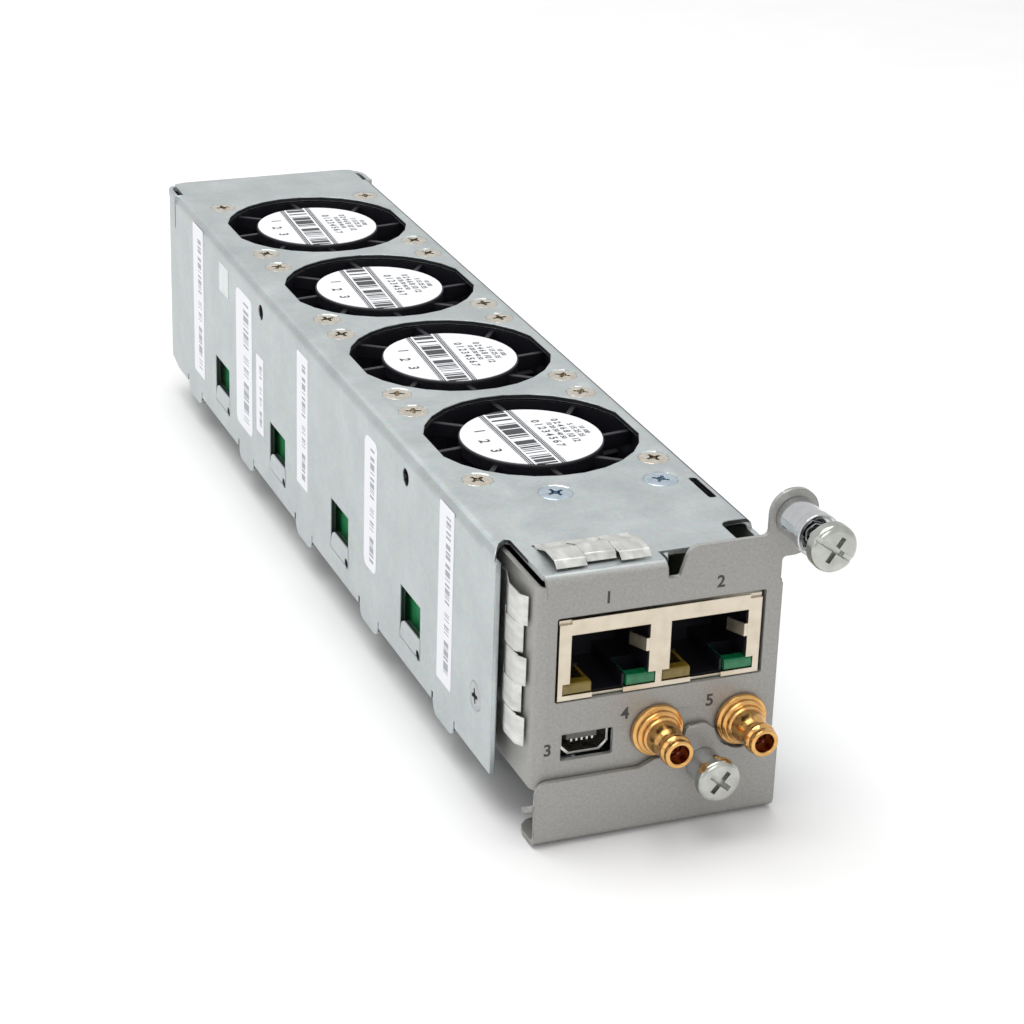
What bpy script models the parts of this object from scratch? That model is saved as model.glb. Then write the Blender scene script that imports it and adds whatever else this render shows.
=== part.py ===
"""Fan tray of a network switch, with its service ports and its air filter.

Sizes are in millimetres, and MM turns them into metres. X runs to the right, Y from the front panel
to the rear and Z up. The zero point of the sizes is the front panel's face, in the middle of the
shell's width, on the plane of its top. One empty carries all pieces and moves that point, so that
the tray's own origin lies under the middle of its outer box.
"""

import math

import bmesh
import bpy
from mathutils import Matrix, Vector

MM = 0.001
FIT = 0.25  # gap between pieces that touch
SNUG = 0.1  # gap round a pressed or turning fit

# Shell, one bent sheet
SHELL_WIDTH = 40.0
SHELL_LENGTH = 190.0
WALL_DEPTH = 35.0
SHEET = 0.8
BEND = 1.6  # outer radius of the long bends
REAR_RADIUS = 4.0
REAR_RELIEF_LENGTH = 8.0  # from the rear face to the slit that ends the long bends
REAR_RELIEF_DEPTH = 5.5
REAR_STEP = 0.2  # gap between the rear wall's edge and the top sheet
WALL_FRONT = 10.0  # front edge of the left wall
WALL_FRONT_TOP = 15.0  # where that edge meets the top sheet
WALL_FOOT_RADIUS = 8.5

# Front panel and the flange behind its left edge
PANEL_LEFT = -17.4
PANEL_BOTTOM = -34.8
PANEL_STEP_WIDTH = 0.4
PANEL_STEP_BOTTOM = -5.2
FLANGE_BOTTOM = -33.1
FLANGE_LENGTH = 13.9
FLANGE_TOP_LENGTH = 15.6
FLANGE_TOP_HEIGHT = 10.7
FLANGE_TAB_LENGTH = 20.5
FLANGE_TAB_TOP = -21.8
FLANGE_SLIT = 0.8
FRONT_BEND_RIGHT = 2.4
NOTCH_LEFT = 7.5  # right end of the notch beside the front bend
NOTCH_DEPTH = 3.5
CORNER_NOTCH_LEFT = 14.5
CORNER_NOTCH_DEPTH = 10.7
LABEL_TAB_TOP = 1.97
LABEL_TAB_LEFT = 4.4
EAR_LEFT = 17.3
EAR_RIGHT = 24.8
EAR_TOP = 8.7
EAR_BOTTOM = -1.5
EDGE_SLOT = (17.0, 18.9, 1.25, 7.75)  # left, front, width, length

# Fans
FAN_COUNT = 4
FAN_PITCH = 36.2
FAN_FIRST = 49.65
FAN_X = 1.1
FAN_SIZE = 35.5
FAN_DEPTH = 28.0
FAN_BORE = 16.9
FAN_FLANGE = 4.0
FAN_CORNER = 2.0
HUB_RADIUS = 11.3
HUB_PLATE = 1.6
STRUT_COUNT = 8
STRUT_WIDTH = 0.8
STRUT_HEIGHT = 2.2
STRUT_START = -6.0  # degrees
STRUT_LEAN = 14.0  # degrees
POST_RADIUS = 3.0
POST_LENGTH = 20.0
SHAFT_RADIUS = 1.2
CUP_RADIUS = 10.6
CUP_WALL = 1.0
CUP_TOP = 2.6  # below the hub plate's face
CUP_BOTTOM = 24.0
BLADE_COUNT = 5
BLADE_TOP = 4.0
BLADE_BOTTOM = 23.0
BLADE_SWEEP = 62.0  # degrees from its upper to its lower edge
BLADE_THICKNESS = 0.8
BLADE_GAP = 0.6
OPENING_RADIUS = 16.7
OPENING_FLAT = 16.05  # half the opening's width

# Screws
FAN_SCREW_SPACING = 28.5
FAN_SCREW_HEAD = 2.4
FAN_SCREW_SHANK = 1.1
FAN_SCREW_LENGTH = 6.0
TOP_SCREWS = ((-3.9, 27.5), (13.0, 27.5))
TOP_SCREW_HEAD = 2.65
TOP_SCREW_SHANK = 1.25
TOP_SCREW_LENGTH = 6.5
SIDE_SCREW = (16.6, -25.6)  # Y and Z
SIDE_SCREW_HEAD = 2.3
SCREW_SINK = 0.06
HEAD_HEIGHT = 0.75

# Left wall
WINDOW_FIRST = 40.2
WINDOW_PITCH = 34.95
WINDOW_LENGTH = 9.2
WINDOW_TOP = -22.4
WINDOW_BOTTOM = -31.3
TONGUE_WIDTH = 4.2
TONGUE_HEIGHT = 3.9
TONGUE_TILT = 35.0  # degrees
LUG_COUNT = 5
LUG_FIRST = 25.0
LUG_LENGTH = 9.0
LUG_DEPTH = 1.9
LEDGE_LENGTH = 6.0
LEDGE_REACH = 2.0
WALL_HOLES = ((47.8, -3.86), (124.45, -3.86))  # Y and Z
WALL_HOLE = 0.9

# Shielding strips
SPRING_SHEET = 0.2
FINGER_HEIGHT = 1.1
FINGER_WIDTH = 4.7
FINGER_GAP = 0.1
FINGER_REST = 0.08  # gap under the strip
TOP_STRIP_LEFT = -14.1
TOP_STRIP_FRONT = 2.0
TOP_STRIP_REAR = 10.9
TOP_FINGERS = 3
SIDE_STRIP_TOP = -5.0
SIDE_STRIP_FRONT = 1.8
SIDE_STRIP_REAR = 9.6
SIDE_FINGERS = 5
FINGER_SETBACK = 1.0  # how much shorter every second finger is

# Twin RJ45 jack
JACK_CUTOUT = (-14.5, -19.5, 17.5, -6.3)  # left, bottom, right, top
JACK_GAP = 0.45
JACK_TOP_GAP = 0.6
JACK_DEPTH = 15.6
JACK_RECESS = 0.2
JACK_SHEET = 0.4
PORT_LEFT = -12.2
PORT_PITCH = 15.2
PORT_WIDTH = 12.0
PORT_TOP = -9.25
PORT_STEP = -16.8
PORT_DEPTH = 11.8
LIGHT_WIDTH = 4.5
LIGHT_BOTTOM = -18.6
LIGHT_REACH = 1.1  # how far a light stands out beside its port
LIGHT_LENGTH = 5.0
LATCH_LEFT = 3.45  # from the port's left side
LATCH_WIDTH = 4.75
CONTACT_PITCH = 1.02
CONTACT_WIDTH = 0.45

# Mini USB jack
USB_CUTOUT = (-13.3, -28.8, -5.3, -24.6)  # left, bottom, right, top
USB_RECESS = 1.2
USB_DEPTH = 8.0
USB_SHEET = 0.35
USB_CHAMFER = 1.3
USB_PINS = 5

# Coaxial connectors
COAX_AXES = ((1.3, -25.9), (14.55, -26.3))
COAX_BASE = 4.0
COAX_BARREL = 2.6
COAX_BORE = 1.45
COAX_TIP = 8.5
COAX_TAIL = 6.0

# Boards
BOARD = 1.6
LOWER_BOARD = 1.0
PORT_BOARD_LENGTH = 29.0
LOWER_BOARD_LENGTH = 13.0
LOWER_BOARD_TOP = -29.2
POST_BOARD_RADIUS = 2.2
STRIP_FRONT = 21.0
STRIP_REAR = 185.0
STRIP_TOP = -6.0
STRIP_BOTTOM = -32.0
REAR_PLUG = (-8.0, -24.0, 14.0, -11.0)  # left, bottom, right, top
REAR_PLUG_LENGTH = 12.0
REAR_PLUG_FLANGE = 1.5
REAR_PLUG_PINS = 8

# Captive screws
UPPER_AXIS = (21.1, 4.6)
UPPER_SLEEVE = 2.35
UPPER_RIM = 3.25
UPPER_RIM_LENGTH = 1.4
UPPER_MOUTH = 7.3
UPPER_HEAD = 3.4
UPPER_HEAD_BACK = 10.1
UPPER_HEAD_FACE = 12.3
LOWER_AXIS = (8.6, -32.3)
LOWER_SLEEVE = 2.6
LOWER_MOUTH = 5.05
LOWER_HEAD = 3.3
LOWER_HEAD_BACK = 5.3
LOWER_HEAD_FACE = 7.2
LOWER_TRAVEL = 3.0
SLEEVE_BORE = 1.2
SLEEVE_FLOOR = 1.2
NECK = 1.0
THREAD = 1.35
THREAD_LENGTH = 2.2
SPRING_WIRE = 0.2
SPRING_RADIUS = 1.65
WASHER = 0.4
NUT_RADIUS = 2.4
NUT_LENGTH = 4.0

# Air filter and its lip plate
LIP_GAP = 0.3  # between the lip plate and the panel
LIP_LEFT = -17.3
LIP_RIGHT = 20.5
LIP_TOP = -31.4
LIP_BOTTOM = -41.8
LIP_FOOT = 6.3
LIP_COAX_GAP = 0.4
LIP_BUMP_TOP = -25.9
LIP_BUMP = (6.2, 8.9)
FILTER_REAR = 185.0
FILTER_DEPTH = 2.8
FILTER_RIM = 1.0
FILTER_BAR = 1.5

HALF = SHELL_WIDTH / 2
INNER = HALF - SHEET
FAN_TOP = -SHEET - FIT
FAN_REAR = FAN_FIRST + (FAN_COUNT - 1) * FAN_PITCH + FAN_SIZE / 2
LEDGE_TOP = -WALL_DEPTH - LUG_DEPTH + SHEET
FILTER_HANG = LEDGE_TOP + FIT  # underside of the filter's side flanges
LIP_FACE = -LIP_GAP - SHEET


def clear_scene():
    for obj in list(bpy.data.objects):
        bpy.data.objects.remove(obj, do_unlink=True)


def new_collection(name):
    collection = bpy.data.collections.new(name)
    bpy.context.scene.collection.children.link(collection)
    return collection


def new_root():
    """The empty that carries all pieces."""
    root = bpy.data.objects.new("tray_origin", None)
    root.empty_display_size = 0.02
    PARTS.objects.link(root)
    return root


def set_origin():
    """Moves the tray so that its origin is under the middle of its outer box."""
    middle_x = (EAR_RIGHT - HALF) / 2
    middle_y = (SHELL_LENGTH - UPPER_HEAD_FACE) / 2
    ROOT.location = Vector((-middle_x, -middle_y, -LIP_BOTTOM)) * MM


def tool(mesh, name="cutter"):
    """An object for Booleans, which finish() can turn into a piece."""
    obj = bpy.data.objects.new(name, mesh)
    obj.parent = ROOT
    obj.display_type = "WIRE"
    obj.hide_render = True
    CUTTERS.objects.link(obj)
    return obj


def from_bmesh(mesh_data):
    """A tool of this shape. Its points are put on a grid of 0.0001 mm, so that flush faces stay flush."""
    for vertex in mesh_data.verts:
        vertex.co = Vector([round(value, 7) for value in vertex.co])
    mesh = bpy.data.meshes.new("shape")
    mesh_data.to_mesh(mesh)
    mesh_data.free()
    return tool(mesh)


def evaluated_mesh(obj):
    depsgraph = bpy.context.evaluated_depsgraph_get()
    return bpy.data.meshes.new_from_object(obj.evaluated_get(depsgraph))


def bake(obj):
    """Applies the modifiers, so that copies can share the mesh."""
    mesh = evaluated_mesh(obj)
    used = [modifier.object for modifier in obj.modifiers if modifier.type == "BOOLEAN"]
    obj.modifiers.clear()
    obj.data = mesh
    for other in used:
        bpy.data.objects.remove(other, do_unlink=True)
    return obj


def finish(obj, name, colour, roughness, metallic, smooth=True):
    """Makes a piece of an object: its solid, its name, its material and its collection."""
    if obj.modifiers:
        bake(obj)
    obj.name = name
    obj.data.name = name
    obj.display_type = "TEXTURED"
    obj.hide_render = False
    CUTTERS.objects.unlink(obj)
    PARTS.objects.link(obj)
    material = bpy.data.materials.new(name)
    material.use_nodes = True
    shader = material.node_tree.nodes["Principled BSDF"]
    shader.inputs["Base Color"].default_value = (*colour, 1.0)
    shader.inputs["Roughness"].default_value = roughness
    shader.inputs["Metallic"].default_value = metallic
    obj.data.materials.clear()
    obj.data.materials.append(material)
    if smooth:
        obj.data.shade_smooth()
        obj.data.set_sharp_from_angle(angle=math.radians(35))
    return obj


def copy_of(obj, place):
    twin = obj.copy()
    twin.location = Vector(place) * MM
    CUTTERS.objects.link(twin)
    for collection in list(twin.users_collection):
        if collection is not CUTTERS:
            collection.objects.unlink(twin)
    return twin


def boolean(obj, other, operation):
    modifier = obj.modifiers.new(operation.lower(), "BOOLEAN")
    modifier.operation = operation
    modifier.object = other
    modifier.solver = "EXACT"
    modifier.use_self = operation == "UNION"
    return obj


def cut(obj, *others):
    for other in others:
        boolean(obj, other, "DIFFERENCE")
    return obj


def join(obj, *others):
    for other in others:
        boolean(obj, other, "UNION")
    return obj


def array(obj, count, step):
    modifier = obj.modifiers.new("array", "ARRAY")
    modifier.count = count
    modifier.use_relative_offset = False
    modifier.use_constant_offset = True
    modifier.constant_offset_displace = Vector(step) * MM
    return obj


def box(low, high):
    shape = bmesh.new()
    bmesh.ops.create_cube(shape, size=1.0)
    low = Vector(low)
    high = Vector(high)
    fitted = Matrix.LocRotScale((low + high) / 2 * MM, None, (high - low) * MM)
    bmesh.ops.transform(shape, matrix=fitted, verts=shape.verts)
    return from_bmesh(shape)


def circle(centre, radius, count=24, start=0.0):
    angles = [math.radians(start) + math.tau * step / count for step in range(count)]
    return [(centre[0] + radius * math.cos(a), centre[1] + radius * math.sin(a)) for a in angles]


def arc(centre, radius, first, last, steps):
    """Points on an arc between two angles in degrees."""
    points = []
    for step in range(steps + 1):
        angle = math.radians(first + (last - first) * step / steps)
        points.append((centre[0] + radius * math.cos(angle), centre[1] + radius * math.sin(angle)))
    return points


def rounded(corners, steps=3):
    """Outline through (u, v, radius) corners. A corner with a radius becomes an arc."""
    outline = []
    for index, (u, v, radius) in enumerate(corners):
        here = Vector((u, v))
        if not radius:
            outline.append((u, v))
            continue
        before = (Vector(corners[index - 1][:2]) - here).normalized()
        after = (Vector(corners[(index + 1) % len(corners)][:2]) - here).normalized()
        half = before.angle(after) / 2
        centre = here + (before + after).normalized() * radius / math.sin(half)
        reach = radius / math.tan(half)
        start = here + before * reach - centre
        end = here + after * reach - centre
        first = math.atan2(start.y, start.x)
        turn = (math.atan2(end.y, end.x) - first + math.pi) % math.tau - math.pi
        for step in range(steps + 1):
            angle = first + turn * step / steps
            outline.append((centre.x + radius * math.cos(angle), centre.y + radius * math.sin(angle)))
    return outline


def bent(corners, thickness, steps=3):
    """Outline of a bent sheet. Its outer face follows the corners, and the sheet lies on their right."""
    path = [Vector(point) for point in rounded(corners, steps)]
    inner = []
    for index, point in enumerate(path):
        runs = []
        if index:
            runs.append((point - path[index - 1]).normalized())
        if index < len(path) - 1:
            runs.append((path[index + 1] - point).normalized())
        along = sum(runs, Vector((0, 0))).normalized()
        lean = along.dot(runs[0])
        inner.append(point + Vector((along.y, -along.x)) * thickness / lean)
    return [tuple(point) for point in path + inner[::-1]]


AXES = {
    "X": Matrix(((0, 0, 1), (1, 0, 0), (0, 1, 0))),
    "Y": Matrix(((1, 0, 0), (0, 0, -1), (0, 1, 0))),
    "Z": Matrix.Identity(3),
}


def prism(loops, axis, low, high):
    """Flat outline with its holes, extruded along an axis from low to high.

    The outline holds (y, z) for the X axis, (x, z) for the Y axis and (x, y) for the Z axis.
    """
    curve = bpy.data.curves.new("outline", "CURVE")
    curve.dimensions = "2D"
    curve.fill_mode = "BOTH"
    curve.extrude = (high - low) / 2 * MM
    for loop in loops:
        spline = curve.splines.new("POLY")
        spline.points.add(len(loop) - 1)
        for point, (u, v) in zip(spline.points, loop):
            point.co = (u * MM, v * MM, 0.0, 1.0)
        spline.use_cyclic_u = True
    holder = bpy.data.objects.new("outline", curve)
    CUTTERS.objects.link(holder)
    mesh = evaluated_mesh(holder)
    bpy.data.objects.remove(holder, do_unlink=True)
    shape = bmesh.new()
    shape.from_mesh(mesh)
    bmesh.ops.remove_doubles(shape, verts=shape.verts, dist=1e-7)
    place = Vector((axis == "X", axis == "Y", axis == "Z")) * (low + high) / 2 * MM
    bmesh.ops.transform(shape, matrix=Matrix.Translation(place) @ AXES[axis].to_4x4(), verts=shape.verts)
    bmesh.ops.recalc_face_normals(shape, faces=shape.faces)
    return from_bmesh(shape)


TURNS = {
    "X": Matrix.Rotation(math.radians(-90), 4, "Y"),
    "Y": Matrix.Rotation(math.radians(-90), 4, "X"),
    "Z": Matrix.Identity(4),
}


def turned(profile, axis="Z", place=(0, 0, 0), steps=24):
    """Turned piece. Its (radius, height) profile runs down its outer side, and a ring's closes.

    Height runs along +Z, along +Y, or along -X.
    """
    mesh = bpy.data.meshes.new("profile")
    last = len(profile) - 1
    edges = [(index, index + 1) for index in range(last)]
    if profile[0][0] > 0:
        edges.append((last, 0))
    mesh.from_pydata([(radius * MM, 0, height * MM) for radius, height in profile], edges, [])
    obj = tool(mesh)
    modifier = obj.modifiers.new("screw", "SCREW")
    modifier.steps = steps
    modifier.render_steps = steps
    modifier.use_merge_vertices = True
    modifier.merge_threshold = 1e-6
    obj.location = Vector(place) * MM
    obj.rotation_euler = TURNS[axis].to_euler()
    return obj


def countersink(radius, shank, axis="Z", place=(0, 0, 0), steps=12):
    """Cutter for a sunk screw: a cone through the sheet."""
    wide = radius + 2 * SNUG
    slope = (wide - shank - FIT) / HEAD_HEIGHT
    low = shank + FIT - slope * (SHEET - HEAD_HEIGHT + 0.1)
    profile = [(0, 0.3), (wide + 0.3 * slope, 0.3), (low, -SHEET - 0.1), (0, -SHEET - 0.1)]
    return turned(profile, axis, place, steps)


def sunk_screw(radius, shank, length, axis="Z", place=(0, 0, 0), steps=12):
    """Countersunk screw with a cross recess, its face just under the sheet's."""
    profile = [
        (0, -SCREW_SINK),
        (radius, -SCREW_SINK),
        (shank, -HEAD_HEIGHT),
        (shank, -length),
        (0, -length),
    ]
    screw = turned(profile, axis, place, steps)
    cross = join(
        box((-radius * 0.55, -0.3, -HEAD_HEIGHT / 2), (radius * 0.55, 0.3, 1)),
        box((-0.3, -radius * 0.55, -HEAD_HEIGHT / 2), (0.3, radius * 0.55, 1)),
    )
    bake(cross)
    cross.location = screw.location
    cross.rotation_euler = screw.rotation_euler
    return cut(screw, cross)


def lip_arc_points():
    """The lip plate's upper edge between its ends, round both coaxial connectors."""
    reach = COAX_BASE + LIP_COAX_GAP
    left, right = COAX_AXES
    bump_left, bump_right = LIP_BUMP
    start = math.degrees(math.asin((LIP_TOP - left[1]) / -reach)) if reach > left[1] - LIP_TOP else 90
    points = [(left[0] - 2.6, LIP_TOP, 1.2)]
    points += [(u, v, 0) for u, v in arc(left, reach, -min(start, 90) - 4, -6, 7)]
    points += [(bump_left, LIP_BUMP_TOP, 0.35), (bump_right, LIP_BUMP_TOP, 0.9)]
    points += [(u, v, 0) for u, v in arc(right, reach, -172, -78, 8)]
    return points


def panel_outline():
    """Front panel seen from the front, with the label tab and the screw ear."""
    return rounded(
        [
            (PANEL_LEFT + 2.2, FLANGE_BOTTOM, 0),
            (PANEL_LEFT + 2.2, -BEND - 0.8, 0),
            (LABEL_TAB_LEFT - 0.6, -BEND - 0.8, 0.3),
            (LABEL_TAB_LEFT + 0.8, LABEL_TAB_TOP, 1.7),
            (EAR_LEFT, LABEL_TAB_TOP, 0.8),
            (EAR_LEFT, EAR_TOP, 3.6),
            (EAR_RIGHT, EAR_TOP, 3.6),
            (EAR_RIGHT, EAR_BOTTOM, 3.6),
            (HALF - PANEL_STEP_WIDTH, EAR_BOTTOM, 0.7),
            (HALF - PANEL_STEP_WIDTH, PANEL_STEP_BOTTOM, 0),
            (HALF, PANEL_STEP_BOTTOM - PANEL_STEP_WIDTH, 0),
            (HALF, PANEL_BOTTOM, 1.0),
            (PANEL_LEFT + 5.2, PANEL_BOTTOM, 0.8),
            (PANEL_LEFT + 5.2, FLANGE_BOTTOM, 0.6),
        ]
    )


def rectangle(left, bottom, right, top, radius=0.3):
    corners = [(left, bottom), (right, bottom), (right, top), (left, top)]
    return rounded([(u, v, radius) for u, v in corners], 2)


def rear_top_outline():
    """Rear end of the top sheet, behind the slits that end the long bends."""
    front = SHELL_LENGTH - REAR_RELIEF_LENGTH
    return rounded(
        [
            (-HALF + 2, front - 1, 0),
            (HALF - 2, front - 1, 0),
            (HALF - 2, front, 0),
            (HALF, front, 0),
            (HALF, SHELL_LENGTH, REAR_RADIUS),
            (-HALF, SHELL_LENGTH, REAR_RADIUS),
            (-HALF, front, 0),
            (-HALF + 2, front, 0),
        ]
    )


def front_trim_outline():
    """What is cut off the top sheet at its front edge."""
    return rounded(
        [
            (PANEL_LEFT - 1, -1, 0),
            (HALF + 1, -1, 0),
            (HALF + 1, CORNER_NOTCH_DEPTH, 0),
            (CORNER_NOTCH_LEFT, CORNER_NOTCH_DEPTH, 1.6),
            (CORNER_NOTCH_LEFT, NOTCH_DEPTH, 0),
            (FRONT_BEND_RIGHT + 0.9, NOTCH_DEPTH, 0.5),
            (FRONT_BEND_RIGHT, BEND - 0.2, 0),
            (PANEL_LEFT - 1, BEND - 0.2, 0),
        ]
    )


def fan_opening(centre_y):
    """Round opening with a flat on each side."""
    lean = math.degrees(math.acos(OPENING_FLAT / OPENING_RADIUS))
    centre = (FAN_X, centre_y)
    right_to_left = arc(centre, OPENING_RADIUS, lean, 180 - lean, 11)
    left_to_right = arc(centre, OPENING_RADIUS, 180 + lean, 360 - lean, 11)
    return right_to_left + left_to_right


def fan_places():
    return [FAN_FIRST + index * FAN_PITCH for index in range(FAN_COUNT)]


def build_shell():
    rear_slit = SHELL_LENGTH - REAR_RELIEF_LENGTH
    slot_left, slot_front, slot_width, slot_length = EDGE_SLOT
    slot_outline = rectangle(slot_left, slot_front, slot_left + slot_width, slot_front + slot_length, 0.4)
    slot = prism([slot_outline], "Z", -SHEET - 1, 1)
    openings = [fan_opening(centre_y) for centre_y in fan_places()]
    clip_slots = []
    for index in (0, 2):
        left = TOP_STRIP_LEFT + index * (FINGER_WIDTH + FINGER_GAP) - 0.15
        clip_slots.append(
            rectangle(left, TOP_STRIP_REAR - 0.4, left + FINGER_WIDTH + 0.3, TOP_STRIP_REAR + 0.3, 0.1)
        )
    section = [(-HALF, -WALL_DEPTH, 0), (-HALF, 0, BEND), (HALF, 0, BEND), (HALF, -WALL_DEPTH, 0)]
    shell = prism([bent(section, SHEET)], "Y", SHEET / 2, rear_slit)
    rear_top = prism([rear_top_outline()], "Z", -SHEET, 0)
    air_holes = [prism([outline], "Z", -SHEET - 1, 1) for outline in openings + clip_slots]
    front_trim = prism([front_trim_outline()], "Z", -SHEET - 0.2, 1)
    wall_trim = box((-HALF - 1, -1, -WALL_DEPTH - 1), (PANEL_LEFT, WALL_FRONT, 1))
    side_slots = []
    for index in range(0, SIDE_FINGERS, 2):
        high = SIDE_STRIP_TOP - index * (FINGER_WIDTH + FINGER_GAP)
        side_slots.append(
            box(
                (PANEL_LEFT - 1, SIDE_STRIP_REAR - 0.4, high - FINGER_WIDTH - 0.15),
                (PANEL_LEFT + SHEET + 1, SIDE_STRIP_REAR + 0.3, high + 0.15),
            )
        )

    rear_path = [
        (-HALF, rear_slit - 1, 0),
        (-HALF, SHELL_LENGTH, REAR_RADIUS),
        (HALF, SHELL_LENGTH, REAR_RADIUS),
        (HALF, rear_slit - 1, 0),
    ]
    rear = prism([bent(rear_path, SHEET)], "Z", -WALL_DEPTH, -SHEET - REAR_STEP)
    slits = box((-HALF - 1, rear_slit - 0.3, -REAR_RELIEF_DEPTH - SHEET), (HALF + 1, rear_slit + 0.3, -SHEET))
    front_path = [
        (PANEL_LEFT + 2.8, 0, 0),
        (PANEL_LEFT, 0, BEND),
        (PANEL_LEFT, FLANGE_TAB_LENGTH, 0),
    ]
    flange = prism([bent(front_path, SHEET)], "Z", FLANGE_BOTTOM, -SHEET - FLANGE_SLIT)
    bend_path = [(0, -3, 0), (0, 0, BEND), (BEND + 1, 0, 0)]
    front_bend = prism([bent(bend_path, SHEET)], "X", PANEL_LEFT + 1.2, FRONT_BEND_RIGHT)

    upper_x, upper_z = UPPER_AXIS
    lower_x, lower_z = LOWER_AXIS
    holes = [
        circle((upper_x, upper_z), UPPER_SLEEVE - 0.35, 24),
        circle((lower_x, lower_z), THREAD + 0.15, 16),
    ]
    holes += [circle(axis, COAX_BARREL + FIT, 24) for axis in COAX_AXES]
    panel = prism([panel_outline()] + holes, "Y", 0, SHEET)
    cutouts = [prism([rectangle(*sides)], "Y", -1, SHEET + 1) for sides in (JACK_CUTOUT, USB_CUTOUT)]
    nut = prism(
        [circle((lower_x, lower_z), NUT_RADIUS, 16), circle((lower_x, lower_z), THREAD + 0.15, 16)],
        "Y",
        SHEET / 2,
        SHEET + NUT_LENGTH,
    )

    lug_low = -WALL_DEPTH - LUG_DEPTH
    lug_outline = rounded(
        [
            (LUG_FIRST, -WALL_DEPTH + 0.5, 0),
            (LUG_FIRST, lug_low, LUG_DEPTH),
            (LUG_FIRST + LUG_LENGTH, lug_low, LUG_DEPTH),
            (LUG_FIRST + LUG_LENGTH, -WALL_DEPTH + 0.5, 0),
        ]
    )
    ledge_front = LUG_FIRST + (LUG_LENGTH - LEDGE_LENGTH) / 2
    lugs = []
    for sign in (-1, 1):
        wall = sorted((sign * HALF, sign * INNER))
        ledge = sorted((sign * (INNER - LEDGE_REACH), sign * (HALF - SHEET / 2)))
        lug = prism([lug_outline], "X", *wall)
        seat = box((ledge[0], ledge_front, lug_low), (ledge[1], ledge_front + LEDGE_LENGTH, LEDGE_TOP))
        bake(join(lug, seat))
        lugs.append(array(lug, LUG_COUNT, (0, WINDOW_PITCH, 0)))
    lug_slots = join(
        box((-HALF - 1, LUG_FIRST - 0.5, -WALL_DEPTH - 1), (-INNER + 0.5, LUG_FIRST, -WALL_DEPTH + 1.1)),
        box(
            (-HALF - 1, LUG_FIRST + LUG_LENGTH, -WALL_DEPTH - 1),
            (-INNER + 0.5, LUG_FIRST + LUG_LENGTH + 0.8, -WALL_DEPTH + 1.4),
        ),
    )
    array(bake(lug_slots), LUG_COUNT, (0, WINDOW_PITCH, 0))

    window_rear = WINDOW_FIRST + WINDOW_LENGTH
    window = prism([rectangle(WINDOW_FIRST, WINDOW_BOTTOM, window_rear, WINDOW_TOP, 0.4)], "X", -HALF - 1, -INNER + 0.6)
    windows = array(window, FAN_COUNT, (0, WINDOW_PITCH, 0))
    tongue_rear = window_rear - 0.5
    tongue_outline = rounded(
        [
            (tongue_rear - TONGUE_WIDTH, -0.1, 0),
            (tongue_rear, -0.1, 0),
            (tongue_rear, TONGUE_HEIGHT, TONGUE_WIDTH * 0.45),
            (tongue_rear - TONGUE_WIDTH, TONGUE_HEIGHT, TONGUE_WIDTH * 0.45),
        ]
    )
    tongue = prism([tongue_outline], "X", -SHEET / 2, SHEET / 2)
    tongue.rotation_euler = (0, math.radians(TONGUE_TILT), 0)
    tongue.location = Vector((-HALF + SHEET / 2, 0, WINDOW_BOTTOM)) * MM
    tongues = array(tongue, FAN_COUNT, (0, WINDOW_PITCH, 0))

    cut(shell, front_trim, wall_trim, slot, windows, *air_holes)
    join(shell, rear_top, rear, panel, flange, front_bend, nut, *lugs)
    cut(shell, slits, lug_slots, *cutouts, *side_slots)
    join(shell, tongues)

    wall_front = prism(
        [
            [
                (WALL_FRONT - 1, -BEND - 1),
                (WALL_FRONT, -BEND - 1),
                (WALL_FRONT_TOP, 0.2),
                (WALL_FRONT_TOP, 1),
                (WALL_FRONT - 1, 1),
            ]
        ],
        "X",
        -HALF - 1,
        PANEL_LEFT,
    )
    foot_radius = WALL_FOOT_RADIUS
    foot = rounded(
        [
            (SHELL_LENGTH - foot_radius, -WALL_DEPTH, 0),
            (SHELL_LENGTH - 0.01, -WALL_DEPTH, foot_radius - 0.02),
            (SHELL_LENGTH - 0.01, -WALL_DEPTH + foot_radius, 0),
            (SHELL_LENGTH + 1, -WALL_DEPTH + foot_radius, 0),
            (SHELL_LENGTH + 1, -WALL_DEPTH - 1, 0),
            (SHELL_LENGTH - foot_radius, -WALL_DEPTH - 1, 0),
        ]
    )
    foot_cut = prism([foot], "X", -HALF - 1, HALF + 1)
    corner_notch = box((CORNER_NOTCH_LEFT + 2, SHEET, -BEND - 0.1), (HALF + 1, CORNER_NOTCH_DEPTH, 1))
    step_corner = box((HALF - PANEL_STEP_WIDTH, -1, PANEL_STEP_BOTTOM), (HALF + 1, SHEET, 1))
    flange_upper = box(
        (PANEL_LEFT - 1, FLANGE_LENGTH, FLANGE_TAB_TOP),
        (PANEL_LEFT + 1.5, FLANGE_TAB_LENGTH + 1, -SHEET - FLANGE_TOP_HEIGHT - 0.5),
    )
    flange_top = box(
        (PANEL_LEFT - 1, FLANGE_TOP_LENGTH, -SHEET - FLANGE_TOP_HEIGHT - 1),
        (PANEL_LEFT + 1.5, FLANGE_TAB_LENGTH + 1, -SHEET - FIT),
    )
    plug_left, plug_bottom, plug_right, plug_top = REAR_PLUG
    plug_opening = box(
        (plug_left - FIT, SHELL_LENGTH - SHEET - 1, plug_bottom - FIT),
        (plug_right + FIT, SHELL_LENGTH + 1, plug_top + FIT),
    )
    wall_holes = [
        turned([(0, 1), (WALL_HOLE, 1), (WALL_HOLE, -2), (0, -2)], "X", (-HALF, y, z), 12) for y, z in WALL_HOLES
    ]
    cut(shell, wall_front, foot_cut, corner_notch, step_corner, flange_upper, flange_top, plug_opening)
    cut(shell, *wall_holes)

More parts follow.
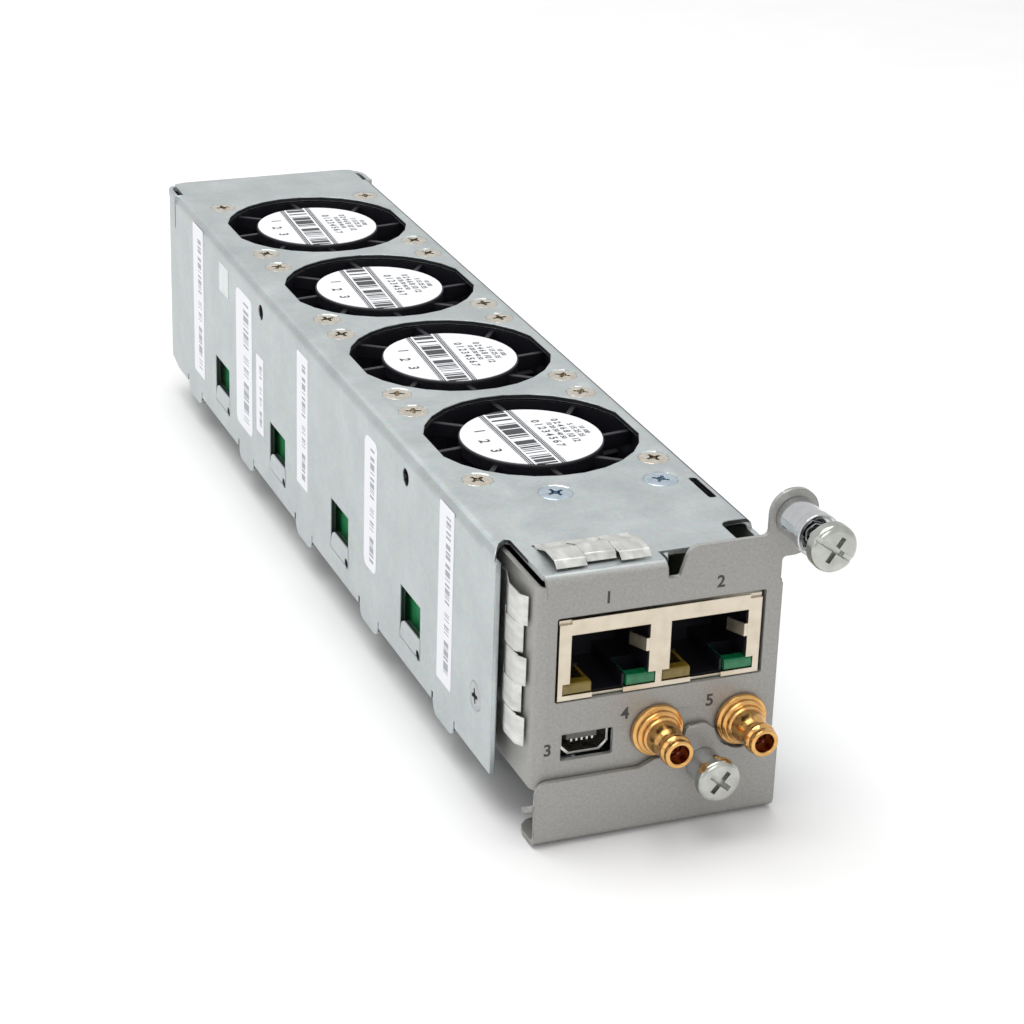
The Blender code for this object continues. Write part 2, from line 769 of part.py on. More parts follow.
    spacing = FAN_SCREW_SPACING
    first = (FAN_X - spacing / 2, FAN_FIRST - spacing / 2, 0)
    fan_sinks = countersink(FAN_SCREW_HEAD, FAN_SCREW_SHANK, place=first)
    array(fan_sinks, 2, (spacing, 0, 0))
    array(fan_sinks, 2, (0, spacing, 0))
    array(fan_sinks, FAN_COUNT, (0, FAN_PITCH, 0))
    cut(shell, fan_sinks)
    for x, y in TOP_SCREWS:
        cut(shell, countersink(TOP_SCREW_HEAD, TOP_SCREW_SHANK, place=(x, y, 0), steps=16))
    y, z = SIDE_SCREW
    cut(shell, countersink(SIDE_SCREW_HEAD, TOP_SCREW_SHANK, "X", (-HALF, y, z), 16))
    shank_hole = turned([(0, 5), (TOP_SCREW_SHANK + FIT, 5), (TOP_SCREW_SHANK + FIT, -5), (0, -5)], "X", steps=12)
    shank_hole.location = Vector((PANEL_LEFT + 3, y, z)) * MM
    cut(shell, shank_hole)
    finish(shell, "shell", (0.53, 0.56, 0.57), 0.42, 0.9)


def build_strip(name, axis, start, front, rear, count, base, side):
    """Row of curved contact fingers on one base bar. base and side are the face and the outward sign."""
    step = FINGER_WIDTH + FINGER_GAP
    low = base + side * FINGER_REST
    top = low + side * (SPRING_SHEET + FINGER_HEIGHT)
    skin = low + side * SPRING_SHEET
    pieces = []
    for index in range(count):
        reach = front + (index % 2) * FINGER_SETBACK
        depth = rear - reach
        path = [
            (reach, skin + side * 0.12, 0),
            (reach + depth * 0.12, top - side * 0.1, depth * 0.08),
            (reach + depth * 0.5, top, depth * 0.2),
            (rear - 1.2, skin, depth * 0.1),
        ]
        path.append((rear, skin, SPRING_SHEET * 1.2) if index % 2 == 0 else (rear - 0.3, skin, 0))
        if index % 2 == 0:
            path.append((rear, base - side * (SHEET + 0.4), 0))
        if axis == "X":
            outline = bent(path, SPRING_SHEET, 2)
            left = start + index * step
        else:
            outline = [(v, u) for u, v in bent(path, -SPRING_SHEET, 2)]
            left = start - (index + 1) * step + FINGER_GAP
        pieces.append(prism([outline], axis, left, left + FINGER_WIDTH))
    length = count * step - FINGER_GAP
    if axis == "X":
        bar = box((start, rear - 1.5, low - 0.03), (start + length, rear - 0.5, skin - 0.03))
    else:
        bar = box((skin + 0.03, rear - 1.5, start - length), (low + 0.03, rear - 0.5, start))
    strip = join(bar, *pieces)
    finish(strip, name, (0.82, 0.83, 0.82), 0.22, 1.0)


def build_fan_housing():
    half = FAN_SIZE / 2
    corners = [(-half, -half), (half, -half), (half, half), (-half, half)]
    square = rounded([(u, v, FAN_CORNER) for u, v in corners], 3)
    outer = [(u * 1.2, v * 1.2) for u, v in corners]
    spacing = FAN_SCREW_SPACING / 2
    screw_holes = [
        circle((x * spacing, y * spacing), FAN_SCREW_SHANK + FIT, 6) for x in (-1, 1) for y in (-1, 1)
    ]
    housing = prism([square, circle((0, 0), FAN_BORE, 24)] + screw_holes, "Z", -FAN_DEPTH, 0)
    waist = prism([outer, circle((0, 0), FAN_BORE + 0.8, 24)], "Z", FAN_FLANGE - FAN_DEPTH, -FAN_FLANGE)
    bore = SHAFT_RADIUS + 0.15
    hub = turned(
        [
            (0, 0),
            (HUB_RADIUS, 0),
            (HUB_RADIUS, -HUB_PLATE),
            (0, -HUB_PLATE),
        ],
        steps=24,
    )
    post = turned(
        [
            (0, -HUB_PLATE / 2),
            (POST_RADIUS, -HUB_PLATE / 2),
            (POST_RADIUS, -POST_LENGTH),
            (bore, -POST_LENGTH),
            (bore, -HUB_PLATE - 4),
            (0, -HUB_PLATE - 4),
        ],
        steps=12,
    )
    struts = bmesh.new()
    reach = (FAN_BORE + half) / 2
    inner = HUB_RADIUS - 1
    for index in range(STRUT_COUNT):
        made = bmesh.ops.create_cube(struts, size=1.0)
        size = Matrix.Diagonal(((reach - inner) * MM, STRUT_WIDTH * MM, STRUT_HEIGHT * MM, 1))
        out = Matrix.Translation(Vector(((reach - inner) / 2, 0, -STRUT_HEIGHT / 2 - 0.2)) * MM)
        lean = Matrix.Rotation(math.radians(STRUT_LEAN), 4, "Z")
        root = Matrix.Translation(Vector((inner, 0, 0)) * MM)
        turn = Matrix.Rotation(math.radians(STRUT_START + 360 / STRUT_COUNT * index), 4, "Z")
        bmesh.ops.transform(struts, matrix=turn @ root @ lean @ out @ size, verts=made["verts"])
    bake(join(cut(housing, waist), hub, post, from_bmesh(struts)))
    for index, centre_y in enumerate(fan_places()):
        place = (FAN_X, centre_y, FAN_TOP)
        twin = copy_of(housing, place)
        finish(twin, f"fan_housing_{index + 1}", (0.02, 0.02, 0.022), 0.5, 0.0)
    bpy.data.objects.remove(housing, do_unlink=True)


def build_fan_rotor():
    """Cup over the bearing post with its shaft, and the blades round it."""
    floor = -CUP_BOTTOM + CUP_WALL
    cup = turned(
        [
            (0, -HUB_PLATE - 5),
            (SHAFT_RADIUS, -HUB_PLATE - 5),
            (SHAFT_RADIUS, floor),
            (CUP_RADIUS - CUP_WALL, floor),
            (CUP_RADIUS - CUP_WALL, -CUP_TOP),
            (CUP_RADIUS, -CUP_TOP),
            (CUP_RADIUS, -CUP_BOTTOM + 0.8),
            (CUP_RADIUS - 0.8, -CUP_BOTTOM),
            (0, -CUP_BOTTOM),
        ],
        steps=18,
    )
    root = CUP_RADIUS - CUP_WALL / 2
    tip = FAN_BORE - BLADE_GAP
    blades = bmesh.new()
    for index in range(BLADE_COUNT):
        made = bmesh.ops.create_grid(blades, x_segments=1, y_segments=4, size=0.5)
        for vertex in made["verts"]:
            out = vertex.co.x + 0.5
            down = vertex.co.y + 0.5
            angle = math.radians(360 / BLADE_COUNT * index + BLADE_SWEEP * down**1.25 + 10 * out)
            radius = root + (tip - root) * out
            height = -BLADE_TOP - (BLADE_BOTTOM - BLADE_TOP) * down - 0.8 * out
            vertex.co = Vector((radius * math.cos(angle), radius * math.sin(angle), height)) * MM
    blade_tool = from_bmesh(blades)
    skin = blade_tool.modifiers.new("solidify", "SOLIDIFY")
    skin.thickness = BLADE_THICKNESS * MM
    skin.offset = 0
    bake(join(cup, blade_tool))
    for index, centre_y in enumerate(fan_places()):
        twin = copy_of(cup, (FAN_X, centre_y, FAN_TOP))
        finish(twin, f"fan_rotor_{index + 1}", (0.015, 0.015, 0.017), 0.42, 0.0)
    bpy.data.objects.remove(cup, do_unlink=True)


def build_screws():
    screw = bake(sunk_screw(FAN_SCREW_HEAD, FAN_SCREW_SHANK, FAN_SCREW_LENGTH))
    spacing = FAN_SCREW_SPACING / 2
    for index, centre_y in enumerate(fan_places()):
        for corner, (x, y) in enumerate(((-1, -1), (1, -1), (-1, 1), (1, 1))):
            twin = copy_of(screw, (FAN_X + x * spacing, centre_y + y * spacing, 0))
            finish(twin, f"fan_screw_{index + 1}{'abcd'[corner]}", (0.68, 0.64, 0.56), 0.3, 1.0)
    bpy.data.objects.remove(screw, do_unlink=True)
    for index, (x, y) in enumerate(TOP_SCREWS):
        screw = sunk_screw(TOP_SCREW_HEAD, TOP_SCREW_SHANK, TOP_SCREW_LENGTH, place=(x, y, 0), steps=16)
        finish(bake(screw), f"top_screw_{index + 1}", (0.6, 0.66, 0.7), 0.3, 1.0)
    y, z = SIDE_SCREW
    screw = sunk_screw(SIDE_SCREW_HEAD, TOP_SCREW_SHANK, 4.2, "X", (-HALF, y, z), 16)
    finish(bake(screw), "side_screw", (0.6, 0.63, 0.64), 0.35, 1.0)


def port_left(index):
    return PORT_LEFT + index * PORT_PITCH


def light_spans(index):
    """Left and right ends of the two lights of a port."""
    left = port_left(index) - LIGHT_REACH
    right = port_left(index) + PORT_WIDTH + LIGHT_REACH
    return (left, left + LIGHT_WIDTH), (right - LIGHT_WIDTH, right)


def jack_box():
    left, bottom, right, top = JACK_CUTOUT
    return left + JACK_GAP, bottom + 0.15, right - JACK_GAP, top - JACK_TOP_GAP


def build_jack():
    left, bottom, right, top = jack_box()
    rear = JACK_RECESS + JACK_DEPTH
    shield = box((left, JACK_RECESS, bottom), (right, rear, top))
    hollow = box(
        (left + JACK_SHEET, JACK_RECESS + JACK_SHEET, bottom + JACK_SHEET),
        (right - JACK_SHEET, rear + 1, top - JACK_SHEET),
    )
    cut(shield, hollow)
    for side_left in (left - 1, right - 1.85):
        cut(shield, box((side_left, -1, top - 0.6), (side_left + 2.85, JACK_RECESS + JACK_SHEET - 0.05, top + 1)))
    inset = JACK_SHEET + FIT
    housing = box(
        (left + inset, JACK_RECESS + inset, bottom + inset),
        (right - inset, rear - FIT, top - inset),
    )
    for index in range(2):
        port = port_left(index)
        port_right = port + PORT_WIDTH
        (yellow_left, yellow_right), (green_left, green_right) = light_spans(index)
        latch = port + LATCH_LEFT
        opening = [
            (port, PORT_TOP),
            (port, PORT_STEP),
            (yellow_left, PORT_STEP),
            (yellow_left, LIGHT_BOTTOM),
            (latch, LIGHT_BOTTOM),
            (latch, bottom - 1),
            (latch + LATCH_WIDTH, bottom - 1),
            (latch + LATCH_WIDTH, LIGHT_BOTTOM),
            (green_right, LIGHT_BOTTOM),
            (green_right, PORT_STEP),
            (port_right, PORT_STEP),
            (port_right, PORT_TOP),
        ]
        cut(shield, prism([opening], "Y", -1, JACK_RECESS + JACK_SHEET + 0.1))
        face = JACK_RECESS + 0.05
        finger = [
            (port_right + 0.3, face),
            (port_right + 0.3, face + 0.3),
            (port_right - 0.35, face + 0.35),
            (port_right - 1.6, face + 3.0),
            (port_right - 1.9, face + 2.9),
            (port_right - 0.5, face),
        ]
        join(shield, prism([finger], "Z", PORT_TOP - 4.2, PORT_TOP - 2.2))
        cavity_low = LIGHT_BOTTOM - 0.05
        wide = box((port, -1, PORT_STEP), (port_right, PORT_DEPTH, PORT_TOP))
        notch = box((latch, -1, cavity_low), (latch + LATCH_WIDTH, PORT_DEPTH, PORT_STEP + 0.5))
        light_rear = JACK_RECESS + JACK_SHEET + LIGHT_LENGTH + FIT
        pockets = [
            box((span[0] - 0.05, -1, cavity_low), (span[1] + 0.05, light_rear, PORT_STEP + 0.1))
            for span in light_spans(index)
        ]
        cut(housing, wide, notch, *pockets)
        build_lights(index)
        build_contacts(index)
    finish(shield, "jack_shield", (0.8, 0.76, 0.68), 0.3, 1.0)
    finish(housing, "jack_housing", (0.012, 0.012, 0.018), 0.45, 0.0)


def build_lights(index):
    """The two moulded lights in a port's lower corners, each with its guide running back."""
    names = ("yellow", "green")
    colours = ((0.55, 0.42, 0.05), (0.02, 0.32, 0.12))
    for name, colour, (left, right) in zip(names, colours, light_spans(index)):
        front = JACK_RECESS + 0.1
        rear = JACK_RECESS + JACK_SHEET + LIGHT_LENGTH
        low = LIGHT_BOTTOM + SNUG
        high = PORT_STEP - SNUG
        outline = rounded([(front, low, 0.3), (rear, low, 0), (rear, high, 0), (front, high, 0.7)], 3)
        light = prism([outline], "X", left + SNUG, right - SNUG)
        finish(light, f"light_{name}_{index + 1}", colour, 0.25, 0.0)


def build_contacts(index):
    """Eight slanting contact wires on one carrier bar."""
    middle = port_left(index) + PORT_WIDTH / 2
    bar_rear = PORT_DEPTH - FIT
    bar = box((middle - 4.4, bar_rear - 0.9, -13.4), (middle + 4.4, bar_rear, -12.4))
    wires = bmesh.new()
    front = Vector((0, 3.2, PORT_TOP - 0.6))
    back = Vector((0, bar_rear - 0.4, -12.9))
    run = back - front
    for step in range(8):
        made = bmesh.ops.create_cube(wires, size=1.0)
        size = Matrix.Diagonal((CONTACT_WIDTH * MM, run.length * MM, 0.3 * MM, 1))
        slant = Matrix.Rotation(math.atan2(run.z, run.y), 4, "X")
        place = (front + back) / 2 + Vector((middle + (step - 3.5) * CONTACT_PITCH, 0, 0))
        bmesh.ops.transform(wires, matrix=Matrix.Translation(place * MM) @ slant @ size, verts=made["verts"])
    contacts = join(bar, from_bmesh(wires))
    finish(contacts, f"jack_contacts_{index + 1}", (0.85, 0.62, 0.25), 0.25, 1.0)


def build_usb():
    left, bottom, right, top = USB_CUTOUT
    outer = (left + FIT, bottom + FIT, right - FIT, top - FIT)

    def outline(inset):
        low_left = outer[0] + inset
        low = outer[1] + inset
        high_right = outer[2] - inset
        high = outer[3] - inset
        chamfer = USB_CHAMFER - inset * 0.4
        return [
            (low_left, high),
            (low_left, low + chamfer),
            (low_left + chamfer, low),
            (high_right - chamfer, low),
            (high_right, low + chamfer),
            (high_right, high),
        ]

    shell = prism([outline(0), outline(USB_SHEET)], "Y", USB_RECESS, USB_RECESS + USB_DEPTH)
    finish(shell, "usb_shell", (0.72, 0.72, 0.7), 0.3, 1.0)
    inset = USB_SHEET + SNUG
    back = USB_RECESS + USB_DEPTH
    insulator = prism([outline(inset)], "Y", back - 2, back - 0.2)
    middle = (outer[0] + outer[2]) / 2
    tongue_top = outer[3] - USB_SHEET - 0.55
    tongue = box((middle - 2.3, USB_RECESS + 0.8, tongue_top - 0.9), (middle + 2.3, back - 1, tongue_top))
    join(insulator, tongue)
    for pin in range(USB_PINS):
        x = middle + (pin - (USB_PINS - 1) / 2) * 0.8
        low = tongue_top - 1.1
        join(insulator, box((x - 0.15, USB_RECESS + 1.3, low), (x + 0.15, back - 1.2, low + 0.4)))
    finish(insulator, "usb_insulator", (0.25, 0.25, 0.26), 0.5, 0.0)


def build_coax():
    for index, (x, z) in enumerate(COAX_AXES):
        tip = -COAX_TIP
        body = turned(
            [
                (COAX_BARREL, COAX_TAIL),
                (COAX_BARREL, -FIT),
                (COAX_BASE, -FIT),
                (COAX_BASE, -1.0),
                (3.75, -1.25),
                (3.4, -1.25),
                (3.3, -2.0),
                (2.85, -2.3),
                (2.75, -3.3),
                (2.3, -5.0),
                (1.95, -5.5),
                (1.95, -6.1),
                (2.4, -6.4),
                (2.4, -7.2),
                (2.1, -7.5),
                (2.05, tip + 0.15),
                (1.9, tip),
                (1.55, tip),
                (COAX_BORE, tip + 0.3),
                (COAX_BORE, COAX_TAIL),
            ],
            "Y",
            (x, 0, z),
            16,
        )
        finish(body, f"coax_body_{index + 1}", (0.86, 0.6, 0.2), 0.18, 1.0)
        insulator = turned(
            [
                (0, COAX_TAIL),
                (COAX_BORE - SNUG, COAX_TAIL),
                (COAX_BORE - SNUG, -5.6),
                (0.5, -5.6),
                (0.32, -5.8),
                (0.32, tip + 1.0),
                (0.2, tip + 0.7),
                (0, tip + 0.7),
            ],
            "Y",
            (x, 0, z),
            10,
        )
        finish(insulator, f"coax_insulator_{index + 1}", (0.3, 0.05, 0.03), 0.4, 0.0)


def build_boards():
    left, bottom, right, top = jack_box()
    board_top = bottom - FIT
    board_front = SHEET + 0.4
    board_rear = board_front + PORT_BOARD_LENGTH
    board = box((left - 1.5, board_front, board_top - BOARD), (right + 1, board_rear, board_top))
    for x, y in TOP_SCREWS:
        hole = TOP_SCREW_SHANK + FIT
        post = turned(
            [
                (POST_BOARD_RADIUS, -SHEET - FIT),
                (POST_BOARD_RADIUS, board_top - BOARD / 2),
                (hole, board_top - BOARD / 2),
                (hole, -SHEET - FIT),
            ],
            place=(x, y, 0),
            steps=16,
        )
        join(board, post)
    finish(board, "port_board", (0.02, 0.2, 0.09), 0.45, 0.0)

    lower_x = LOWER_AXIS[0]
    outline = rounded(
        [
            (left, board_front, 0),
            (lower_x - NUT_RADIUS - 0.6, board_front, 0),
            (lower_x - NUT_RADIUS - 0.6, SHEET + NUT_LENGTH + 0.8, 0.6),
            (lower_x + NUT_RADIUS + 0.6, SHEET + NUT_LENGTH + 0.8, 0.6),
            (lower_x + NUT_RADIUS + 0.6, board_front, 0),
            (right, board_front, 0),
            (right, board_front + LOWER_BOARD_LENGTH, 0),
            (left, board_front + LOWER_BOARD_LENGTH, 0),
        ]
    )
    lower = prism([outline], "Z", LOWER_BOARD_TOP - LOWER_BOARD, LOWER_BOARD_TOP)
    spacer_top = board_top - BOARD - FIT
    spacer_y = board_front + LOWER_BOARD_LENGTH - 2.5
    for x in (left + 2.5, right - 2.5):
        spacer = turned(
            [
                (0, spacer_top),
                (POST_BOARD_RADIUS, spacer_top),
                (POST_BOARD_RADIUS, LOWER_BOARD_TOP - LOWER_BOARD / 2),
                (0, LOWER_BOARD_TOP - LOWER_BOARD / 2),
            ],
            place=(x, spacer_y, 0),
            steps=12,
        )
        join(lower, spacer)
    finish(lower, "lower_board", (0.02, 0.2, 0.09), 0.45, 0.0)

    corners = [(STRIP_FRONT, STRIP_BOTTOM), (STRIP_FRONT, STRIP_TOP), (STRIP_REAR, STRIP_TOP)]
    corners.append((STRIP_REAR, STRIP_BOTTOM))
    for index in reversed(range(FAN_COUNT)):
        rear = WINDOW_FIRST + WINDOW_LENGTH + index * WINDOW_PITCH + 0.8
        front = rear - TONGUE_WIDTH - 2
        corners += [(rear, STRIP_BOTTOM), (rear, WINDOW_TOP + 1), (front, WINDOW_TOP + 1), (front, STRIP_BOTTOM)]
    strip = prism([corners], "X", -INNER + FIT, -INNER + FIT + BOARD)
    finish(strip, "strip_board", (0.02, 0.22, 0.1), 0.45, 0.0)


def build_rear_plug():
    """Rear connector: block in the rear wall's opening, with a flange behind the wall."""
    left, bottom, right, top = REAR_PLUG
    inside = SHELL_LENGTH - SHEET - FIT
    front = SHELL_LENGTH - REAR_PLUG_LENGTH
    plug = box((left, front, bottom), (right, SHELL_LENGTH - 0.1, top))
    flange = box((left - 2, inside - REAR_PLUG_FLANGE, bottom - 2), (right + 2, inside, top + 2))
    step = (right - left) / REAR_PLUG_PINS
    pin_x = left + step / 2
    row = (top - bottom) / 4
    holes = box((pin_x - 0.6, SHELL_LENGTH - 6, bottom + row - 0.6), (pin_x + 0.6, SHELL_LENGTH + 1, bottom + row + 0.6))
    array(holes, REAR_PLUG_PINS, (step, 0, 0))
    array(holes, 2, (0, 0, 2 * row))
    finish(cut(join(plug, flange), holes), "rear_connector", (0.02, 0.02, 0.025), 0.5, 0.0)


def build_coil(name, axis, front, rear, turns, colour):
    """Round-wire spring along Y between two planes."""
    steps = 7
    start = front + SPRING_WIRE
    length = rear - front - 2 * SPRING_WIRE
    count = int(turns * steps)
    curve = bpy.data.curves.new(name, "CURVE")
    curve.dimensions = "3D"
    curve.bevel_depth = SPRING_WIRE * MM
    curve.bevel_resolution = 1
    curve.use_fill_caps = True
    spline = curve.splines.new("POLY")
    spline.points.add(count)
    for index, point in enumerate(spline.points):
        angle = math.tau * index / steps
        y = start + length * index / count
        place = Vector((SPRING_RADIUS * math.cos(angle), y, SPRING_RADIUS * math.sin(angle))) * MM
        point.co = (*place, 1.0)
    coil = tool(curve)
    coil.location = Vector((axis[0], 0, axis[1])) * MM
    mesh = evaluated_mesh(coil)
    shape = bmesh.new()
    shape.from_mesh(mesh)
    bmesh.ops.remove_doubles(shape, verts=shape.verts, dist=1e-7)
    bmesh.ops.recalc_face_normals(shape, faces=shape.faces)
    welded = from_bmesh(shape)
    welded.location = coil.location
    bpy.data.objects.remove(coil, do_unlink=True)
    finish(welded, name, colour, 0.25, 1.0)


def build_washer(name, axis, front, radius):
    ring = [(radius, front + WASHER), (radius, front), (NECK + SNUG, front), (NECK + SNUG, front + WASHER)]
    finish(turned(ring, "Y", (axis[0], 0, axis[1]), 14), name, (0.7, 0.7, 0.68), 0.3, 1.0)


def build_captive(name, axis, head, face, back, shoulder, side_slot):
    """Captive screw: head with its recess, thin neck and the thread that can't leave the sleeve."""
    screw = turned(
        [
            (0, shoulder + THREAD_LENGTH),
            (THREAD - 0.3, shoulder + THREAD_LENGTH),
            (THREAD, shoulder + THREAD_LENGTH - 0.3),
            (THREAD, shoulder),
            (NECK, shoulder),
            (NECK, -back),
            (head - 0.2, -back),
            (head, -back - 0.2),
            (head, -face + 0.5),
            (head - 0.15, -face + 0.2),
            (head - 0.5, -face),
            (0, -face),
        ],
        "Y",
        (axis[0], 0, axis[1]),
        18,
    )
    arm = head * 0.58
    recess = join(
        box((-arm, -face - 1, -0.4), (arm, -face + 1.3, 0.4)),
        box((-0.4, -face - 1, -arm), (0.4, -face + 1.3, arm)),
    )
    if side_slot:
        join(recess, box((-head - 1, -face - 1, -0.35), (head + 1, -face + 0.7, 0.35)))
    bake(recess)
    recess.location = screw.location
    cut(screw, recess)
    finish(screw, name, (0.66, 0.67, 0.66), 0.3, 1.0)


def build_captive_screws():
    bore = SLEEVE_BORE
    spring_bore = SPRING_RADIUS + SPRING_WIRE + 0.2
    neck = UPPER_SLEEVE - 0.45
    upper = (UPPER_AXIS[0], 0, UPPER_AXIS[1])
    rim_rear = UPPER_RIM_LENGTH - UPPER_MOUTH
    sleeve = turned(
        [
            (neck, SHEET),
            (neck, -SNUG),
            (UPPER_SLEEVE, -SNUG),
            (UPPER_SLEEVE, rim_rear + 0.35),
            (UPPER_RIM, rim_rear),
            (UPPER_RIM, -UPPER_MOUTH),
            (UPPER_RIM - 0.6, -UPPER_MOUTH),
            (UPPER_RIM - 0.6, rim_rear),
            (spring_bore, rim_rear + 0.3),
            (spring_bore, -SLEEVE_FLOOR),
            (bore, -SLEEVE_FLOOR),
            (bore, SHEET),
        ],
        "Y",
        upper,
        18,
    )
    finish(sleeve, "upper_sleeve", (0.78, 0.79, 0.8), 0.18, 1.0)
    washer_front = -UPPER_HEAD_BACK + SNUG
    build_washer("upper_washer", UPPER_AXIS, washer_front, UPPER_RIM - 0.6 - 0.3)
    build_coil("upper_spring", UPPER_AXIS, washer_front + WASHER + SNUG, -SLEEVE_FLOOR - SNUG, 6.5, (0.5, 0.5, 0.5))
    build_captive(
        "upper_screw", UPPER_AXIS, UPPER_HEAD, UPPER_HEAD_FACE, UPPER_HEAD_BACK, SHEET + FIT, True
    )

    lower = (LOWER_AXIS[0], 0, LOWER_AXIS[1])
    floor = LIP_FACE - 0.8
    sleeve = turned(
        [
            (neck, -LIP_GAP),
            (neck, LIP_FACE - SNUG),
            (LOWER_SLEEVE, LIP_FACE - SNUG),
            (LOWER_SLEEVE, -LOWER_MOUTH + 0.1),
            (LOWER_SLEEVE - 0.1, -LOWER_MOUTH),
            (spring_bore, -LOWER_MOUTH),
            (spring_bore, floor),
            (bore, floor),
            (bore, -LIP_GAP),
        ],
        "Y",
        lower,
        18,
    )
    finish(sleeve, "lower_sleeve", (0.78, 0.79, 0.8), 0.15, 1.0)
    washer_front = -LOWER_HEAD_BACK + SNUG
    build_washer("lower_washer", LOWER_AXIS, washer_front, spring_bore - 0.1)
    build_coil("lower_spring", LOWER_AXIS, washer_front + WASHER + SNUG, floor - SNUG, 4.5, (0.5, 0.5, 0.5))
    shoulder = -LIP_GAP + LOWER_TRAVEL + FIT
    build_captive("lower_screw", LOWER_AXIS, LOWER_HEAD, LOWER_HEAD_FACE, LOWER_HEAD_BACK, shoulder, False)


def build_filter():
    lip_top = [(LIP_LEFT, LIP_TOP, 1.8)] + lip_arc_points() + [(LIP_RIGHT, LIP_TOP, 0.4)]
    lip_low = [(LIP_RIGHT, LIP_BOTTOM + 2.5, 0), (LIP_LEFT, LIP_BOTTOM + 2.5, 0)]
    hole = circle(LOWER_AXIS, UPPER_SLEEVE - 0.35, 24)
    lip = prism([rounded(lip_top + lip_low, 3), hole], "Y", LIP_FACE, -LIP_GAP)
    foot_path = [(LIP_FACE + 3, LIP_BOTTOM, 0), (LIP_FACE, LIP_BOTTOM, BEND), (LIP_FACE, LIP_BOTTOM + 3, 0)]
    foot_bend = prism([bent(foot_path, SHEET)], "X", LIP_LEFT, LIP_RIGHT)
    foot = prism(
        [
            rounded(
                [
                    (LIP_LEFT, LIP_FACE + 2, 0),
                    (LIP_RIGHT, LIP_FACE + 2, 0),
                    (LIP_RIGHT, LIP_FOOT, 1.0),
                    (LIP_LEFT, LIP_FOOT, 3.0),
                ]
            )
        ],
        "Z",
        LIP_BOTTOM,
        LIP_BOTTOM + SHEET,
    )
    rim = INNER - FIT
    wall = INNER - LEDGE_REACH - FIT
    front = -LIP_GAP - SHEET / 2
    inner = wall - SHEET
    top = FILTER_HANG + SHEET
    low = FILTER_HANG - FILTER_DEPTH
    inner_front = SHEET + FIT
    inner_rear = FILTER_REAR - SHEET

    def ring(outer_x, inner_x, near, far):
        return [
            rectangle(-outer_x, front, outer_x, FILTER_REAR, 0.5),
            rectangle(-inner_x, near, inner_x, far, 0.4),
        ]

    flange = prism(ring(rim, inner, inner_front, inner_rear), "Z", FILTER_HANG, top)
    body = prism(ring(wall, inner, inner_front, inner_rear), "Z", low, FILTER_HANG + SHEET / 2)
    ledge = inner - FILTER_RIM
    floor = prism(
        ring(wall - SHEET / 2, ledge, inner_front + FILTER_RIM, inner_rear - FILTER_RIM), "Z", low, low + SHEET
    )
    bars = box((-inner - 0.2, 44, low), (inner + 0.2, 44 + FILTER_BAR, low + SHEET))
    array(bars, 4, (0, 33.0, 0))
    join(lip, foot_bend, foot, flange, body, floor, bars)
    finish(lip, "filter_frame", (0.36, 0.35, 0.33), 0.5, 0.8)
    medium = box(
        (-inner + FIT, inner_front + FIT, low + SHEET + SNUG),
        (inner - FIT, inner_rear - FIT, top - FIT),
    )
    finish(medium, "filter_medium", (0.05, 0.05, 0.055), 0.9, 0.0, smooth=False)


def main():
    build_shell()
    build_strip("emi_strip_top", "X", TOP_STRIP_LEFT, TOP_STRIP_FRONT, TOP_STRIP_REAR, TOP_FINGERS, 0, 1)
    build_strip(
        "emi_strip_side", "Z", SIDE_STRIP_TOP, SIDE_STRIP_FRONT, SIDE_STRIP_REAR, SIDE_FINGERS, PANEL_LEFT, -1
    )
    build_fan_housing()
    build_fan_rotor()
    build_screws()
    build_jack()
    build_usb()
    build_coax()
    build_boards()
    build_rear_plug()
    build_captive_screws()
    build_filter()
    set_origin()


clear_scene()
PARTS = new_collection("switch_fan_tray")
CUTTERS = new_collection("cutters")
ROOT = new_root()
main()
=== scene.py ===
"""Looks of a switch fan tray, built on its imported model.

The object is put together here as it is in the workshop: bent shell, shielding strips, fans, labels,
ports, boards, captive screws, air filter and printed numbers. Finishes, films and printing are sized
in metres; outlines, tools, turned profiles and the names in capitals are in millimetres.
"""

import math

import bmesh
import bpy
from mathutils import Matrix, Vector


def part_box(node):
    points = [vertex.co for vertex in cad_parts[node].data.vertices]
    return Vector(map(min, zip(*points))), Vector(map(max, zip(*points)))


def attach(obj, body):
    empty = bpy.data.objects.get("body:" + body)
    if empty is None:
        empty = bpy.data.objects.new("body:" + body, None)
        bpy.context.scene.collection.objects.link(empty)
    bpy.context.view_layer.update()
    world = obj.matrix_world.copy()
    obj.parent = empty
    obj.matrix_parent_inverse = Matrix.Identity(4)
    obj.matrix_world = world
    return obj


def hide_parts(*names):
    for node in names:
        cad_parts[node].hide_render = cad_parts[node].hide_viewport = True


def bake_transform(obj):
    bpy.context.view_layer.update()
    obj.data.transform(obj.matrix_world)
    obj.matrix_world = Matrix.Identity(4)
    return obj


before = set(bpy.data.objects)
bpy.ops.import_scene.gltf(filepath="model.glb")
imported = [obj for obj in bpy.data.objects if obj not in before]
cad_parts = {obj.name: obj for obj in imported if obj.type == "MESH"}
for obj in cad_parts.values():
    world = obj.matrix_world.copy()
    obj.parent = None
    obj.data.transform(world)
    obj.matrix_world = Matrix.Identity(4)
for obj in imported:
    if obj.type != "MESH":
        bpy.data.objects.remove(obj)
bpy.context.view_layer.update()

# TABLE, LIGHT AND CAMERA
# The tray stands on a plain pale table in a bright room. Soft panels hang above it, to its left and in
# front of it, and the camera looks down on it from the front left.


def linear(hex_colour):
    """sRGB hex value as linear red, green, blue and full opacity."""
    parts = [int(hex_colour[place:place + 2], 16) / 255 for place in (0, 2, 4)]
    return (*[part / 12.92 if part <= 0.04045 else ((part + 0.055) / 1.055) ** 2.4 for part in parts], 1.0)


